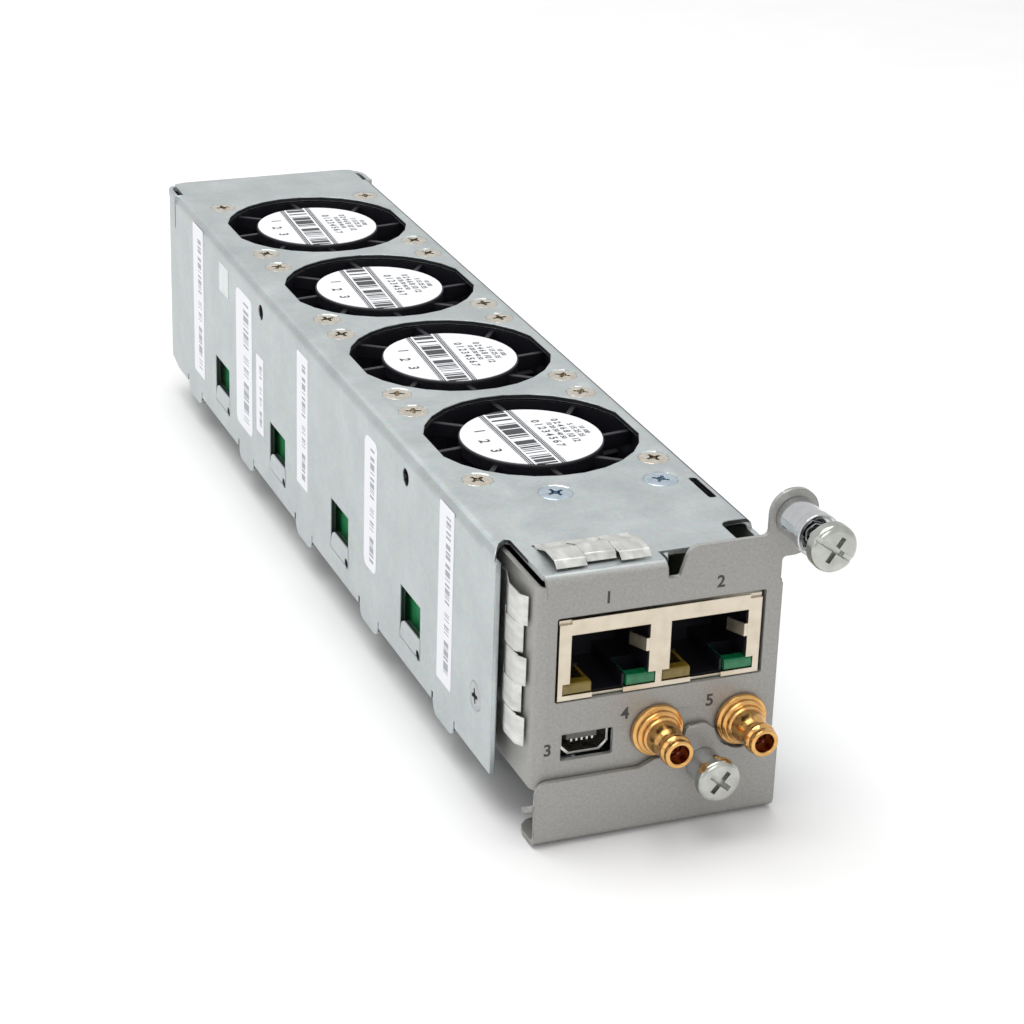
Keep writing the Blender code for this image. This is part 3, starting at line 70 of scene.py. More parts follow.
def add(tree, kind, values=None, wires=None, **settings):
    """One node with its settings, the values of its inputs, and the sockets wired to its inputs."""
    made = tree.nodes.new(kind)
    for name, setting in settings.items():
        setattr(made, name, setting)
    for name, value in (values or {}).items():
        made.inputs[name].default_value = value
    for name, socket in (wires or {}).items():
        tree.links.new(socket, made.inputs[name])
    return made


def finish_named(name, **values):
    """A new material with constant values on its shader, its node tree and the shader."""
    material = bpy.data.materials.new(name)
    material.use_nodes = True
    tree = material.node_tree
    shader = tree.nodes["Principled BSDF"]
    for socket, value in values.items():
        shader.inputs[socket.replace("_", " ")].default_value = value
    return material, tree, shader


def mottled(name, dark, light, patch, detail=2.0, rough=None, edge=0.0, **values):
    """A finish that wanders between two colours in patches of that size. Its roughness may follow the
    patches from one value to the other, and its edges may be rounded off by a radius."""
    material, tree, shader = finish_named(name, **values)
    spot = add(tree, "ShaderNodeTexCoord").outputs["Object"]
    cloud = add(tree, "ShaderNodeTexNoise", {"Scale": 1 / patch, "Detail": detail}, {"Vector": spot})
    tint = add(tree, "ShaderNodeMix", {"A": linear(dark), "B": linear(light)},
               {"Factor": cloud.outputs["Fac"]}, data_type="RGBA")
    tree.links.new(tint.outputs["Result"], shader.inputs["Base Color"])
    if rough:
        worn = add(tree, "ShaderNodeMapRange", {"To Min": rough[0], "To Max": rough[1]},
                   {"Value": cloud.outputs["Fac"]})
        tree.links.new(worn.outputs["Result"], shader.inputs["Roughness"])
    if edge:
        soft = add(tree, "ShaderNodeBevel", {"Radius": edge}, samples=4)
        tree.links.new(soft.outputs["Normal"], shader.inputs["Normal"])
    return material


# Matt white laminate, pressed smooth: an even pale surface with a barely visible fine texture.
laminate = mottled("white_laminate", "DEDEDE", "E4E4E4", 1 / 60, 3.0, Roughness=0.6)
bpy.ops.mesh.primitive_plane_add(size=6.0, location=(0, 0, -0.0002))
table = bpy.context.object
table.name = "table_top"
table.data.materials.append(laminate)

room = bpy.data.worlds.new("bright_room")
room.use_nodes = True
room.node_tree.nodes["Background"].inputs["Color"].default_value = linear("FFFFFF")
room.node_tree.nodes["Background"].inputs["Strength"].default_value = 0.78
bpy.context.scene.world = room
bpy.context.scene.view_settings.view_transform = "Standard"

for name, place, size, power in (
    ("panel_above", (-0.15, 0.1, 0.9), 0.7, 7.0),
    ("panel_left", (-0.9, -0.2, 0.45), 0.6, 0.8),
    ("panel_front", (-0.1, -1.1, 0.5), 0.5, 1.6),
):
    light = bpy.data.lights.new(name, "AREA")
    light.size = size
    light.energy = power
    lamp = bpy.data.objects.new(name, light)
    lamp.location = place
    lamp.rotation_euler = (Vector((0, 0, 0.02)) - Vector(place)).to_track_quat("-Z", "Y").to_euler()
    bpy.context.scene.collection.objects.link(lamp)

lens = bpy.data.cameras.new("photo_lens")
lens.lens = 96.307
lens.sensor_width = 36.0
lens.clip_start = 0.01
camera = bpy.data.objects.new("photo_camera", lens)
camera.location = (-0.150937, -0.400285, 0.201471)
camera.rotation_euler = [math.radians(angle) for angle in (66.1161, -1.7475, -21.358)]
bpy.context.scene.collection.objects.link(camera)
bpy.context.scene.camera = camera

# SHELL
# One sheet of zinc-plated steel, punched and bent into top, walls, front panel and screw ear. It starts from
# the imported solid, into which the finer punched outlines are stamped. The front face of the panel and the
# flange behind its left edge are a darker warm grey: partly the coat for the printing, partly painted shade
# on faces turned away from the light above. The punched edges are bare steel darkened further with painted
# shade; the rest is left as plated.

# Outer faces of the left wall, the panel and the top.
LEFT, FACE, TOP = -22.4, -88.85, 41.8

# Electro-galvanised steel sheet, rolled: satin blue-grey with cloudy patches of 8 mm and fine speckle.
zinc, tree, shader = finish_named("galvanised_sheet", Metallic=0.9, Roughness=0.42)
spot = add(tree, "ShaderNodeTexCoord").outputs["Object"]
cloud = add(tree, "ShaderNodeTexNoise", {"Scale": 1 / 0.008, "Detail": 5.0, "Roughness": 0.62},
            {"Vector": spot})
speckle = add(tree, "ShaderNodeTexNoise", {"Scale": 1 / 0.0007, "Detail": 2.0}, {"Vector": spot})
patches = add(tree, "ShaderNodeMix", {"A": linear("A3ABAC"), "B": linear("CDD2D2")},
              {"Factor": cloud.outputs["Fac"]}, data_type="RGBA")
flecks = add(tree, "ShaderNodeMix", {"Factor": 0.16, "B": linear("FFFFFF")},
             {"A": patches.outputs["Result"]}, data_type="RGBA", blend_type="OVERLAY")
tree.links.new(speckle.outputs["Color"], flecks.inputs["B"])
# Parts of the sheet are told apart by their place: each box is a middle and a reach along some axes.
place = add(tree, "ShaderNodeSeparateXYZ", wires={"Vector": spot})
found = {}
for name, box in (("flange", (("Y", -0.0785, 0.0105), ("X", -0.019, 0.0015))),
                  ("wall_edge", (("X", -0.02195, 0.00028), ("Z", 0.0225, 0.0165), ("Y", 0.012, 0.085))),
                  ("top_edge", (("Z", 0.0414, 0.00028), ("X", 0.0, 0.0195), ("Y", 0.005, 0.087)))):
    for axis, middle, reach in box:
        within = add(tree, "ShaderNodeMath", {1: middle, 2: reach}, {0: place.outputs[axis]},
                     operation="COMPARE")
        if name in found:
            within = add(tree, "ShaderNodeMath", wires={0: found[name].outputs["Value"],
                                                        1: within.outputs["Value"]}, operation="MULTIPLY")
        found[name] = within
# The warm grey covers the panel and the flange behind its left edge, and thins out over their bends. It is
# the coat for the printing and also painted shade on these faces, which turn away from the light above.
front = add(tree, "ShaderNodeMapRange", {"From Min": -0.0874, "From Max": -0.0884},
            {"Value": place.outputs["Y"]})
low = add(tree, "ShaderNodeMapRange", {"From Min": 0.0415, "From Max": 0.0404}, {"Value": place.outputs["Z"]})
flange = add(tree, "ShaderNodeMath", wires={0: found["flange"].outputs["Value"], 1: low.outputs["Result"]},
             operation="MULTIPLY")
coat_and_shade = add(tree, "ShaderNodeMath", wires={0: flange.outputs["Value"], 1: front.outputs["Result"]},
             operation="MAXIMUM")
grit = add(tree, "ShaderNodeTexNoise", {"Scale": 1 / 0.0004, "Detail": 3.0}, {"Vector": spot})
# Darker warm grey: the coat's colour with painted shade in it.
coat_and_shade_tint = add(tree, "ShaderNodeMix", {"A": linear("888784"), "B": linear("A8A7A3")},
                {"Factor": grit.outputs["Fac"]}, data_type="RGBA")
# Punched edges are bare sheared steel, painted darker than the plating as shade: the window jambs face away
# from the light, and the edges round the fan openings carry a painted reflection of the black fans.
sheared_and_shaded = add(tree, "ShaderNodeMath", wires={0: found["wall_edge"].outputs["Value"],
                                             1: found["top_edge"].outputs["Value"]}, operation="MAXIMUM")
plating_with_edge_shade = add(tree, "ShaderNodeMix", {"B": linear("4C4E50")},
              {"Factor": sheared_and_shaded.outputs["Value"], "A": flecks.outputs["Result"]}, data_type="RGBA")
skin = add(tree, "ShaderNodeMix", wires={"Factor": coat_and_shade.outputs["Value"], "A": plating_with_edge_shade.outputs["Result"],
                                         "B": coat_and_shade_tint.outputs["Result"]}, data_type="RGBA")
tree.links.new(skin.outputs["Result"], shader.inputs["Base Color"])
worn = add(tree, "ShaderNodeMapRange", {"To Min": 0.34, "To Max": 0.52}, {"Value": cloud.outputs["Fac"]})
tree.links.new(worn.outputs["Result"], shader.inputs["Roughness"])
shine = add(tree, "ShaderNodeMapRange", {"To Min": 0.9, "To Max": 0.45},
            {"Value": coat_and_shade.outputs["Value"]})
tree.links.new(shine.outputs["Result"], shader.inputs["Metallic"])
soft = add(tree, "ShaderNodeBevel", {"Radius": 0.00025}, samples=4)
dents = add(tree, "ShaderNodeBump", {"Strength": 0.25, "Distance": 0.00002},
            {"Height": grit.outputs["Fac"], "Normal": soft.outputs["Normal"]})
tree.links.new(dents.outputs["Normal"], shader.inputs["Normal"])


def rounded(corners, steps=8):
    """Outline through (u, v, radius) corners. A corner with a radius becomes an arc."""
    outline = []
    for index, (u, v, radius) in enumerate(corners):
        here = Vector((u, v))
        if not radius:
            outline.append((u, v))
            continue
        before = (Vector(corners[index - 1][:2]) - here).normalized()
        after = (Vector(corners[(index + 1) % len(corners)][:2]) - here).normalized()
        half = before.angle(after) / 2
        centre = here + (before + after).normalized() * radius / math.sin(half)
        start = here + before * radius / math.tan(half) - centre
        end = here + after * radius / math.tan(half) - centre
        first = math.atan2(start.y, start.x)
        turn = (math.atan2(end.y, end.x) - first + math.pi) % math.tau - math.pi
        for step in range(steps + 1):
            angle = first + turn * step / steps
            outline.append((centre.x + radius * math.cos(angle), centre.y + radius * math.sin(angle)))
    return outline


def punch(outline, axis, low, high):
    """Tool of that outline, in millimetres, from low to high along an axis."""
    order = {"X": (2, 0, 1), "Y": (0, 2, 1), "Z": (0, 1, 2)}[axis]
    shape = bmesh.new()
    rings = []
    for height in (low, high):
        rings.append([shape.verts.new([(u, v, height)[place] / 1000 for place in order]) for u, v in outline])
    shape.faces.new(rings[0])
    shape.faces.new(rings[1])
    for here, after in zip(range(len(outline)), [*range(1, len(outline)), 0]):
        shape.faces.new((rings[0][here], rings[0][after], rings[1][after], rings[1][here]))
    bmesh.ops.recalc_face_normals(shape, faces=shape.faces)
    return held(shape, "punch")


def held(shape, name):
    """Object for a finished bmesh."""
    mesh = bpy.data.meshes.new(name)
    shape.to_mesh(mesh)
    shape.free()
    piece = bpy.data.objects.new(name, mesh)
    bpy.context.scene.collection.objects.link(piece)
    return piece


def block(low, high):
    """Tool from one corner to the other, in millimetres."""
    outline = [(low[0], low[1]), (high[0], low[1]), (high[0], high[1]), (low[0], high[1])]
    return punch(outline, "Z", low[2], high[2])


def disc(centre, radius, steps=40):
    """Outline of a circle."""
    return [(centre[0] + radius * math.cos(math.tau * step / steps),
             centre[1] + radius * math.sin(math.tau * step / steps)) for step in range(steps)]


def stamp(piece, *work):
    """Works the tools into a piece one after another: pairs of an operation and a tool."""
    for operation, tool in work:
        cut = piece.modifiers.new("stamp", "BOOLEAN")
        cut.operation = operation
        cut.solver = "EXACT"
        cut.object = tool
    depsgraph = bpy.context.evaluated_depsgraph_get()
    mesh = bpy.data.meshes.new_from_object(piece.evaluated_get(depsgraph))
    piece.modifiers.clear()
    piece.data = mesh
    for operation, tool in work:
        bpy.data.objects.remove(tool, do_unlink=True)


def copied(node, name):
    """Object with a merged copy of a solid's mesh."""
    shape = bmesh.new()
    shape.from_mesh(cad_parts[node].data)
    bmesh.ops.remove_doubles(shape, verts=shape.verts, dist=0.0000001)
    return held(shape, name)


def placed(piece, body, slot, material, *nodes):
    """Smooth shading, finish, body and the solids that a piece stands for. The slot is not used."""
    piece.data.materials.clear()
    piece.data.materials.append(material)
    for face in piece.data.polygons:
        face.material_index = 0
    piece.data.shade_smooth()
    piece.data.set_sharp_from_angle(angle=math.radians(35))
    level = piece.modifiers.new("level", "WEIGHTED_NORMAL")
    level.keep_sharp = True
    depsgraph = bpy.context.evaluated_depsgraph_get()
    mesh = bpy.data.meshes.new_from_object(piece.evaluated_get(depsgraph))
    piece.modifiers.clear()
    piece.data = mesh
    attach(piece, body)
    if nodes:
        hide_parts(*nodes)


sheet = copied("shell", "shell_sheet")
work = []
# The flange behind the panel's left edge reaches further back, with three slots for the strip's hooks.
work.append(("UNION", block((-19.8, -86.85, 8.72), (-19.0, -73.05, 40.18))))
for top in (38.2, 28.8, 19.4):
    work.append(("DIFFERENCE", block((-20.8, -75.75, top - 4.9), (-18.0, -75.05, top))))
# The left wall's bend sweeps up to a notch in the top sheet.
bend = [[(-20.8 - radius * math.cos(math.radians(turn)), 40.2 + radius * math.sin(math.radians(turn)))
         for turn in (0, 30, 60, 90)] for radius in (1.6, 0.8)]
section = [(LEFT, 38.8)] + bend[0] + [(-18.8, TOP), (-18.8, 41.0)] + bend[1][::-1] + [(-21.6, 38.8)]
work.append(("UNION", punch(section, "Y", -78.85, -73.55)))
bend_end = rounded([(-23.4, -79.85, 0), (-18.8, -79.85, 0), (-18.8, -73.85, 0.6), (-20.8, -75.65, 0.4),
                    (-22.7, -78.85, 0), (-23.4, -78.85, 0)])
work.append(("DIFFERENCE", punch(bend_end, "Z", 40.25, 42.8)))
work.append(("DIFFERENCE", block((-20.4, -89.85, 40.25), (-18.8, -79.5, 42.8))))
# At the rear the top sheet is narrower, with the walls bent up beside it. Behind the front bend it is
# set back.
corner = rounded([(-23.4, 93.5, 0), (-20.6, 93.5, 0), (-20.6, 101.15, 1.5), (-18.6, 101.15, 0),
                  (-18.6, 102.15, 0), (-23.4, 102.15, 0)])
rim = [(LEFT, 93.8)]
rim += [(-18.4 + radius * math.cos(math.radians(turn)), 97.15 + radius * math.sin(math.radians(turn)))
        for radius, turns in ((4, (180, 165, 150, 138, 126)), (3.2, (136, 150, 165, 180))) for turn in turns]
rim += [(-21.6, 93.8)]
middle = -2.4
for side in (1, -1):
    cut, wall = [[(middle + side * (x - middle), y) for x, y in outline] for outline in (corner, rim)]
    work.append(("DIFFERENCE", punch(cut, "Z", 40.85, 42.8)))
    work.append(("UNION", punch(wall, "Z", 40.6, 41.65)))
work.append(("DIFFERENCE", block((0.0, -85.6, 40.9), (12.1, -84.85, 42.8))))
work.append(("DIFFERENCE", block((-0.4, -89.85, 39.45), (0.05, -84.85, 42.8))))
# The ear is punched with smooth arcs round its captive screw.
ear = rounded([(16.6, 39.6, 0), (17.2, 39.6, 0), (17.2, 40.3, 0.65), (22.4, 40.3, 3.6), (22.4, 50.5, 3.6),
               (14.9, 50.5, 3.6), (14.9, 43.77, 0.8), (14.0, 43.77, 0), (14.0, 42.3, 0), (16.6, 42.3, 0)], 12)
work.append(("UNION", punch(ear, "Y", FACE, FACE + 0.8)))
work.append(("DIFFERENCE", punch(disc((18.7, 46.4), 2.0), "Y", -90, -87)))
# Each window ends above a tongue with one rounded corner, which has a relief hole at its foot.
for index in range(4):
    front = -48.65 + 34.95 * index
    work.append(("DIFFERENCE", block((-23.4, front, 10.5), (-19.2, front + 9.2, 19.4))))
    tongue = rounded([(front - 0.2, 10.4, 0), (front + 9.3, 10.4, 0), (front + 9.3, 11.7, 0),
                      (front + 8.9, 11.7, 0), (front + 8.9, 13.9, 2.1), (front - 0.2, 13.9, 0)])
    work.append(("UNION", punch(tongue, "X", LEFT, LEFT + 0.8)))
    work.append(("DIFFERENCE", punch(disc((front + 1.0, 10.9), 0.85), "X", -23.4, -21.0)))
for along in (-41.05, 35.6):
    work.append(("DIFFERENCE", punch(disc((along, 37.94), 1.4), "X", -23.4, -21.0)))
stamp(sheet, *work)
placed(sheet, "tray", "zinc_sheet", zinc, "shell")

# SHIELDING STRIPS
# Finger stock of thin bright spring steel, three fingers on top and five beside the ports, clipped
# through slots. It presses on the neighbouring tray and closes the gap for radio noise.

# Tin-plated beryllium copper, stamped and polished by tumbling: near white, with soft short streaks.
tin, tree, shader = finish_named("bright_tin_plate", Metallic=0.85, Roughness=0.3)
spot = add(tree, "ShaderNodeTexCoord").outputs["Object"]
drawn = add(tree, "ShaderNodeMapping", {"Scale": (1.0, 0.25, 1.0)}, {"Vector": spot})
cloud = add(tree, "ShaderNodeTexNoise", {"Scale": 1 / 0.0012, "Detail": 5.0},
            {"Vector": drawn.outputs["Vector"]})
tint = add(tree, "ShaderNodeMix", {"A": linear("9C9C98"), "B": linear("F2F2EE")},
           {"Factor": cloud.outputs["Fac"]}, data_type="RGBA")
tree.links.new(tint.outputs["Result"], shader.inputs["Base Color"])
worn = add(tree, "ShaderNodeMapRange", {"To Min": 0.28, "To Max": 0.44}, {"Value": cloud.outputs["Fac"]})
tree.links.new(worn.outputs["Result"], shader.inputs["Roughness"])
soft = add(tree, "ShaderNodeBevel", {"Radius": 0.0001}, samples=4)
tree.links.new(soft.outputs["Normal"], shader.inputs["Normal"])
top_strip = copied("emi_strip_top", "top_finger_strip")
# Short slits part neighbouring fingers at both ends of their arch.
slits = [block((along - 0.17, front, 40.0), (along + 0.17, rear, 44.0))
         for along in (-11.75, -6.95) for front, rear in ((-87.2, -85.4), (-80.1, -78.9))]
stamp(top_strip, *[("DIFFERENCE", slit) for slit in slits])
placed(top_strip, "tray", "finger_spring", tin, "emi_strip_top")
# The side strip is the same stock, stretched over the flange: 10.6 mm from its tips to its clips.
side_strip = copied("emi_strip_side", "side_finger_strip")
tips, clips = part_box("emi_strip_side")
for corner in side_strip.data.vertices:
    corner.co.y = -0.08595 + (corner.co.y - tips[1]) * 0.0106 / (clips[1] - tips[1])
    corner.co.z = 0.03805 + (corner.co.z - clips[2]) * 4.7 / 4.8
slits = [block((-23.0, front, up - 0.17), (-18.0, rear, up + 0.17))
         for up in (33.4, 28.7, 24.0, 19.3) for front, rear in ((-86.3, -84.5), (-80.7, -79.5))]
stamp(side_strip, *[("DIFFERENCE", slit) for slit in slits])
placed(side_strip, "tray", "finger_spring", tin, "emi_strip_side")

# FANS
# Square axial fans of black glass-filled polyester. Each frame is moulded in one with its bore, its
# eight thin struts and the round plate that carries the motor; the impeller turns under that plate.

# Glass-filled polyester, moulded: black with a grey satin sheen and a very fine grain.
polyester, tree, shader = finish_named("moulded_black_polyester", Roughness=0.45)
spot = add(tree, "ShaderNodeTexCoord").outputs["Object"]
grain = add(tree, "ShaderNodeTexNoise", {"Scale": 1 / 0.0003, "Detail": 2.0}, {"Vector": spot})
tint = add(tree, "ShaderNodeMix", {"A": linear("0B0B12"), "B": linear("181820")},
           {"Factor": grain.outputs["Fac"]}, data_type="RGBA")
tree.links.new(tint.outputs["Result"], shader.inputs["Base Color"])
soft = add(tree, "ShaderNodeBevel", {"Radius": 0.0002}, samples=4)
dents = add(tree, "ShaderNodeBump", {"Strength": 0.3, "Distance": 0.00002},
            {"Height": grain.outputs["Fac"], "Normal": soft.outputs["Normal"]})
tree.links.new(dents.outputs["Normal"], shader.inputs["Normal"])


def dress(material, *nodes):
    """Gives solids of the frame their finish."""
    for name in nodes:
        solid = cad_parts[name]
        solid.data.materials.clear()
        solid.data.materials.append(material)


dress(polyester, *[f"fan_housing_{number}" for number in range(1, 5)],
      *[f"fan_rotor_{number}" for number in range(1, 5)])


def lathe(name, profile, centre, steps=64, axis="Y"):
    """Turned piece: (radius, place along the axis) points, in millimetres, once round the axis."""
    shape = bmesh.new()
    rings = []
    for radius, along in profile:
        ring = []
        for step in range(steps if radius else 1):
            angle = math.tau * step / steps
            u = centre[0] + radius * math.cos(angle)
            v = centre[1] + radius * math.sin(angle)
            spot = (u, along, v) if axis == "Y" else (u, v, along)
            ring.append(shape.verts.new([part / 1000 for part in spot]))
        rings.append(ring)
    for lower, upper in zip(rings, rings[1:] + rings[:1]):
        if len(lower) == 1 and len(upper) == 1:
            continue
        for step in range(steps):
            after = (step + 1) % steps
            corners = [lower[step % len(lower)], lower[after % len(lower)],
                       upper[after % len(upper)], upper[step % len(upper)]]
            shape.faces.new(list(dict.fromkeys(corners)))
    bmesh.ops.recalc_face_normals(shape, faces=shape.faces)
    return held(shape, name)


# The motor plate stands 0.55 mm above the frame's corners, with a softened rim.
FAN_X, FAN_FIRST, FAN_PITCH, PLATE_TOP = -1.3, -39.2, 36.2, 41.3
for number in range(4):
    profile = [(0, 40.7), (11.3, 40.7), (11.3, 41.15), (11.25, 41.25), (11.15, PLATE_TOP), (0, PLATE_TOP)]
    plate = lathe(f"motor_plate_{number + 1}", profile, (FAN_X, FAN_FIRST + FAN_PITCH * number), 96, "Z")
    placed(plate, "tray", "fan_frame", polyester)

# FAN LABELS
# A round self-adhesive label of white polyester film on each motor plate, printed with a dark band
# between fine lines and with numbers. One tree cuts the film and sets it at the fans' pitch.
labels = bpy.data.node_groups.new("labels_in_a_row", "GeometryNodeTree")
for name, kind in (("Radius", "Float"), ("Thickness", "Float"), ("Pitch", "Vector"), ("First", "Vector"),
                   ("Count", "Int"), ("Film", "Material")):
    labels.interface.new_socket(name, in_out="INPUT", socket_type="NodeSocket" + kind)
labels.interface.new_socket("Geometry", in_out="OUTPUT", socket_type="NodeSocketGeometry")
given = labels.nodes.new("NodeGroupInput").outputs
blank = add(labels, "GeometryNodeMeshCircle", {"Vertices": 96}, {"Radius": given["Radius"]},
            fill_type="NGON")
place = add(labels, "GeometryNodeInputPosition")
marked = add(labels, "GeometryNodeStoreNamedAttribute", {"Name": "on_label"},
             {"Geometry": blank.outputs["Mesh"], "Value": place.outputs["Position"]},
             data_type="FLOAT_VECTOR", domain="POINT")
thick = add(labels, "GeometryNodeExtrudeMesh", {"Individual": False},
            {"Mesh": marked.outputs["Geometry"], "Offset Scale": given["Thickness"]})
foot = add(labels, "GeometryNodeFlipFaces", wires={"Mesh": marked.outputs["Geometry"]})
closed = add(labels, "GeometryNodeJoinGeometry")
labels.links.new(thick.outputs["Mesh"], closed.inputs["Geometry"])
labels.links.new(foot.outputs["Mesh"], closed.inputs["Geometry"])
sealed = add(labels, "GeometryNodeMergeByDistance", {"Distance": 0.000001},
             {"Geometry": closed.outputs["Geometry"]})
row = add(labels, "GeometryNodeMeshLine", wires={"Count": given["Count"], "Start Location": given["First"],
                                                 "Offset": given["Pitch"]})
# The front label is stuck on with a turn of its own.
place = add(labels, "GeometryNodeInputIndex")
first = add(labels, "ShaderNodeMath", {1: 0.5}, {0: place.outputs["Index"]}, operation="LESS_THAN")
turn = add(labels, "ShaderNodeMath", {1: math.radians(4.5)}, {0: first.outputs["Value"]},
           operation="MULTIPLY")
askew = add(labels, "ShaderNodeCombineXYZ", wires={"Z": turn.outputs["Value"]})
spread = add(labels, "GeometryNodeInstanceOnPoints",
             wires={"Points": row.outputs["Mesh"], "Instance": sealed.outputs["Geometry"],
                    "Rotation": askew.outputs["Vector"]})
real = add(labels, "GeometryNodeRealizeInstances", wires={"Geometry": spread.outputs["Instances"]})
covered = add(labels, "GeometryNodeSetMaterial", wires={"Geometry": real.outputs["Geometry"],
                                                        "Material": given["Film"]})
end = labels.nodes.new("NodeGroupOutput")
labels.links.new(covered.outputs["Geometry"], end.inputs["Geometry"])

# Printed polyester film, matt: white ground, and a charcoal band that runs along the tray left of the
# middle, with three fine lines on each side of a row of short bars.
film, tree, shader = finish_named("printed_fan_label", Roughness=0.42)
spot = add(tree, "ShaderNodeAttribute", attribute_name="on_label").outputs["Vector"]
turned = add(tree, "ShaderNodeMapping", {"Rotation": (0, 0, math.radians(3)), "Scale": (1000, 1000, 1000)},
             {"Vector": spot})
across = add(tree, "ShaderNodeSeparateXYZ", wires={"Vector": turned.outputs["Vector"]})
shifted = add(tree, "ShaderNodeMath", {1: 1.8}, {0: across.outputs["X"]}, operation="ADD")
away = add(tree, "ShaderNodeMath", wires={0: shifted.outputs["Value"]}, operation="ABSOLUTE")
wave = add(tree, "ShaderNodeMath", {1: 0.35}, {0: away.outputs["Value"]}, operation="MODULO")
ruled = add(tree, "ShaderNodeMath", {1: 0.25}, {0: wave.outputs["Value"]}, operation="LESS_THAN")
outer = add(tree, "ShaderNodeMath", {1: 2.95}, {0: away.outputs["Value"]}, operation="LESS_THAN")
inner = add(tree, "ShaderNodeMath", {1: 2.08}, {0: away.outputs["Value"]}, operation="GREATER_THAN")
middle = add(tree, "ShaderNodeMath", {1: 1.7}, {0: away.outputs["Value"]}, operation="LESS_THAN")
cell = add(tree, "ShaderNodeMath", {1: 0.3}, {0: across.outputs["Y"]}, operation="DIVIDE")
step = add(tree, "ShaderNodeMath", wires={0: cell.outputs["Value"]}, operation="FLOOR")
chance = add(tree, "ShaderNodeTexWhiteNoise", wires={"W": step.outputs["Value"]}, noise_dimensions="1D")
bars = add(tree, "ShaderNodeMath", {1: 0.36}, {0: chance.outputs["Value"]}, operation="GREATER_THAN")
lines = add(tree, "ShaderNodeMath", wires={0: ruled.outputs["Value"], 1: outer.outputs["Value"]},
            operation="MULTIPLY")
lines = add(tree, "ShaderNodeMath", wires={0: lines.outputs["Value"], 1: inner.outputs["Value"]},
            operation="MULTIPLY")
coded = add(tree, "ShaderNodeMath", wires={0: bars.outputs["Value"], 1: middle.outputs["Value"]},
            operation="MULTIPLY")
inked = add(tree, "ShaderNodeMath", wires={0: lines.outputs["Value"], 1: coded.outputs["Value"]},
            operation="MAXIMUM")
tint = add(tree, "ShaderNodeMix", {"A": linear("D4D5D8"), "B": linear("28282E")},
           {"Factor": inked.outputs["Value"]}, data_type="RGBA")
tree.links.new(tint.outputs["Result"], shader.inputs["Base Color"])

holder = bpy.data.objects.new("fan_labels", bpy.data.meshes.new("fan_labels"))
bpy.context.scene.collection.objects.link(holder)
rule = holder.modifiers.new("row", "NODES")
rule.node_group = labels
known = {item.name: item.identifier for item in labels.interface.items_tree if item.in_out == "INPUT"}
rule[known["Radius"]] = 0.01105
rule[known["Thickness"]] = 0.00008
rule[known["Pitch"]] = (0.0, FAN_PITCH / 1000, 0.0)
rule[known["First"]] = (FAN_X / 1000, FAN_FIRST / 1000, PLATE_TOP / 1000)
rule[known["Count"]] = 4
rule[known["Film"]] = film
depsgraph = bpy.context.evaluated_depsgraph_get()
plain = bpy.data.meshes.new_from_object(holder.evaluated_get(depsgraph))
holder.modifiers.clear()
holder.data = plain
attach(holder, "tray")

# Screen-printing ink, matt and slightly raised.
ink = mottled("screen_printing_ink", "2E2E30", "424244", 0.0003, Roughness=0.6)


def lettered(words, height):
    """Mesh of raised characters, flat and centred on the origin."""
    text = bpy.data.curves.new("words", "FONT")
    text.body = words
    text.size = height / 0.7
    text.align_x = "CENTER"
    text.align_y = "CENTER"
    text.extrude = 0.000008
    text.offset = height * 0.035
    flat = bpy.data.objects.new("words", text)
    bpy.context.scene.collection.objects.link(flat)
    depsgraph = bpy.context.evaluated_depsgraph_get()
    mesh = bpy.data.meshes.new_from_object(flat.evaluated_get(depsgraph))
    bpy.data.objects.remove(flat, do_unlink=True)
    return mesh


# Rows of plain numbers run beside the band, and three larger ones stand on its other side.
shape = bmesh.new()
for fan in range(4):
    for words, across, along, height in (
        ("0 1 2 3 4 5 6 7", 2.9, 0.4, 0.0013), ("10 20 30 40 50", 4.6, 1.0, 0.0008),
        ("0 2 4 6 8 10 12", 6.0, 0.6, 0.0011), ("5 15 25 35", 7.6, 0.2, 0.0009), ("10 100", 8.9, 0.0, 0.0008),
        ("1", -6.9, 4.4, 0.0017), ("2", -7.7, 0.4, 0.0017), ("3", -7.4, -3.6, 0.0017),
    ):
        line = lettered(words, height)
        spot = Vector((FAN_X, FAN_FIRST + FAN_PITCH * fan, PLATE_TOP + 0.088)) / 1000
        line.transform(Matrix.Translation(spot) @ Matrix.Rotation(math.radians(-3 if fan else 1.5), 4, "Z")
                       @ Matrix.Translation((across / 1000, along / 1000, 0))
                       @ Matrix.Rotation(math.radians(-90), 4, "Z"))
        shape.from_mesh(line)
        bpy.data.meshes.remove(line)
figures = held(shape, "fan_label_figures")
figures.data.materials.append(ink)
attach(figures, "tray")

# SCREWS
# Countersunk machine screws with cross recesses, driven in flush. The fans' sixteen are nickel-plated;
# the two over the port board and the one in the left wall are zinc-plated.


def plated(name, dark, light, patch, rough, edge):
    """A plated metal, duller or brighter in the patches in which its colour changes."""
    return mottled(name, dark, light, patch, 3.0, rough, edge, Metallic=1.0)


# Nickel plate on turned steel, warm grey with a soft sheen, and blue-passivated zinc, a cool silver.
nickel = plated("nickel_plated_screw", "B8AF9F", "F4EEE2", 0.0009, (0.12, 0.26), 0.0001)
passivated = plated("blue_zinc_screw", "9DAFBE", "DCE8F0", 0.0012, (0.18, 0.34), 0.0001)


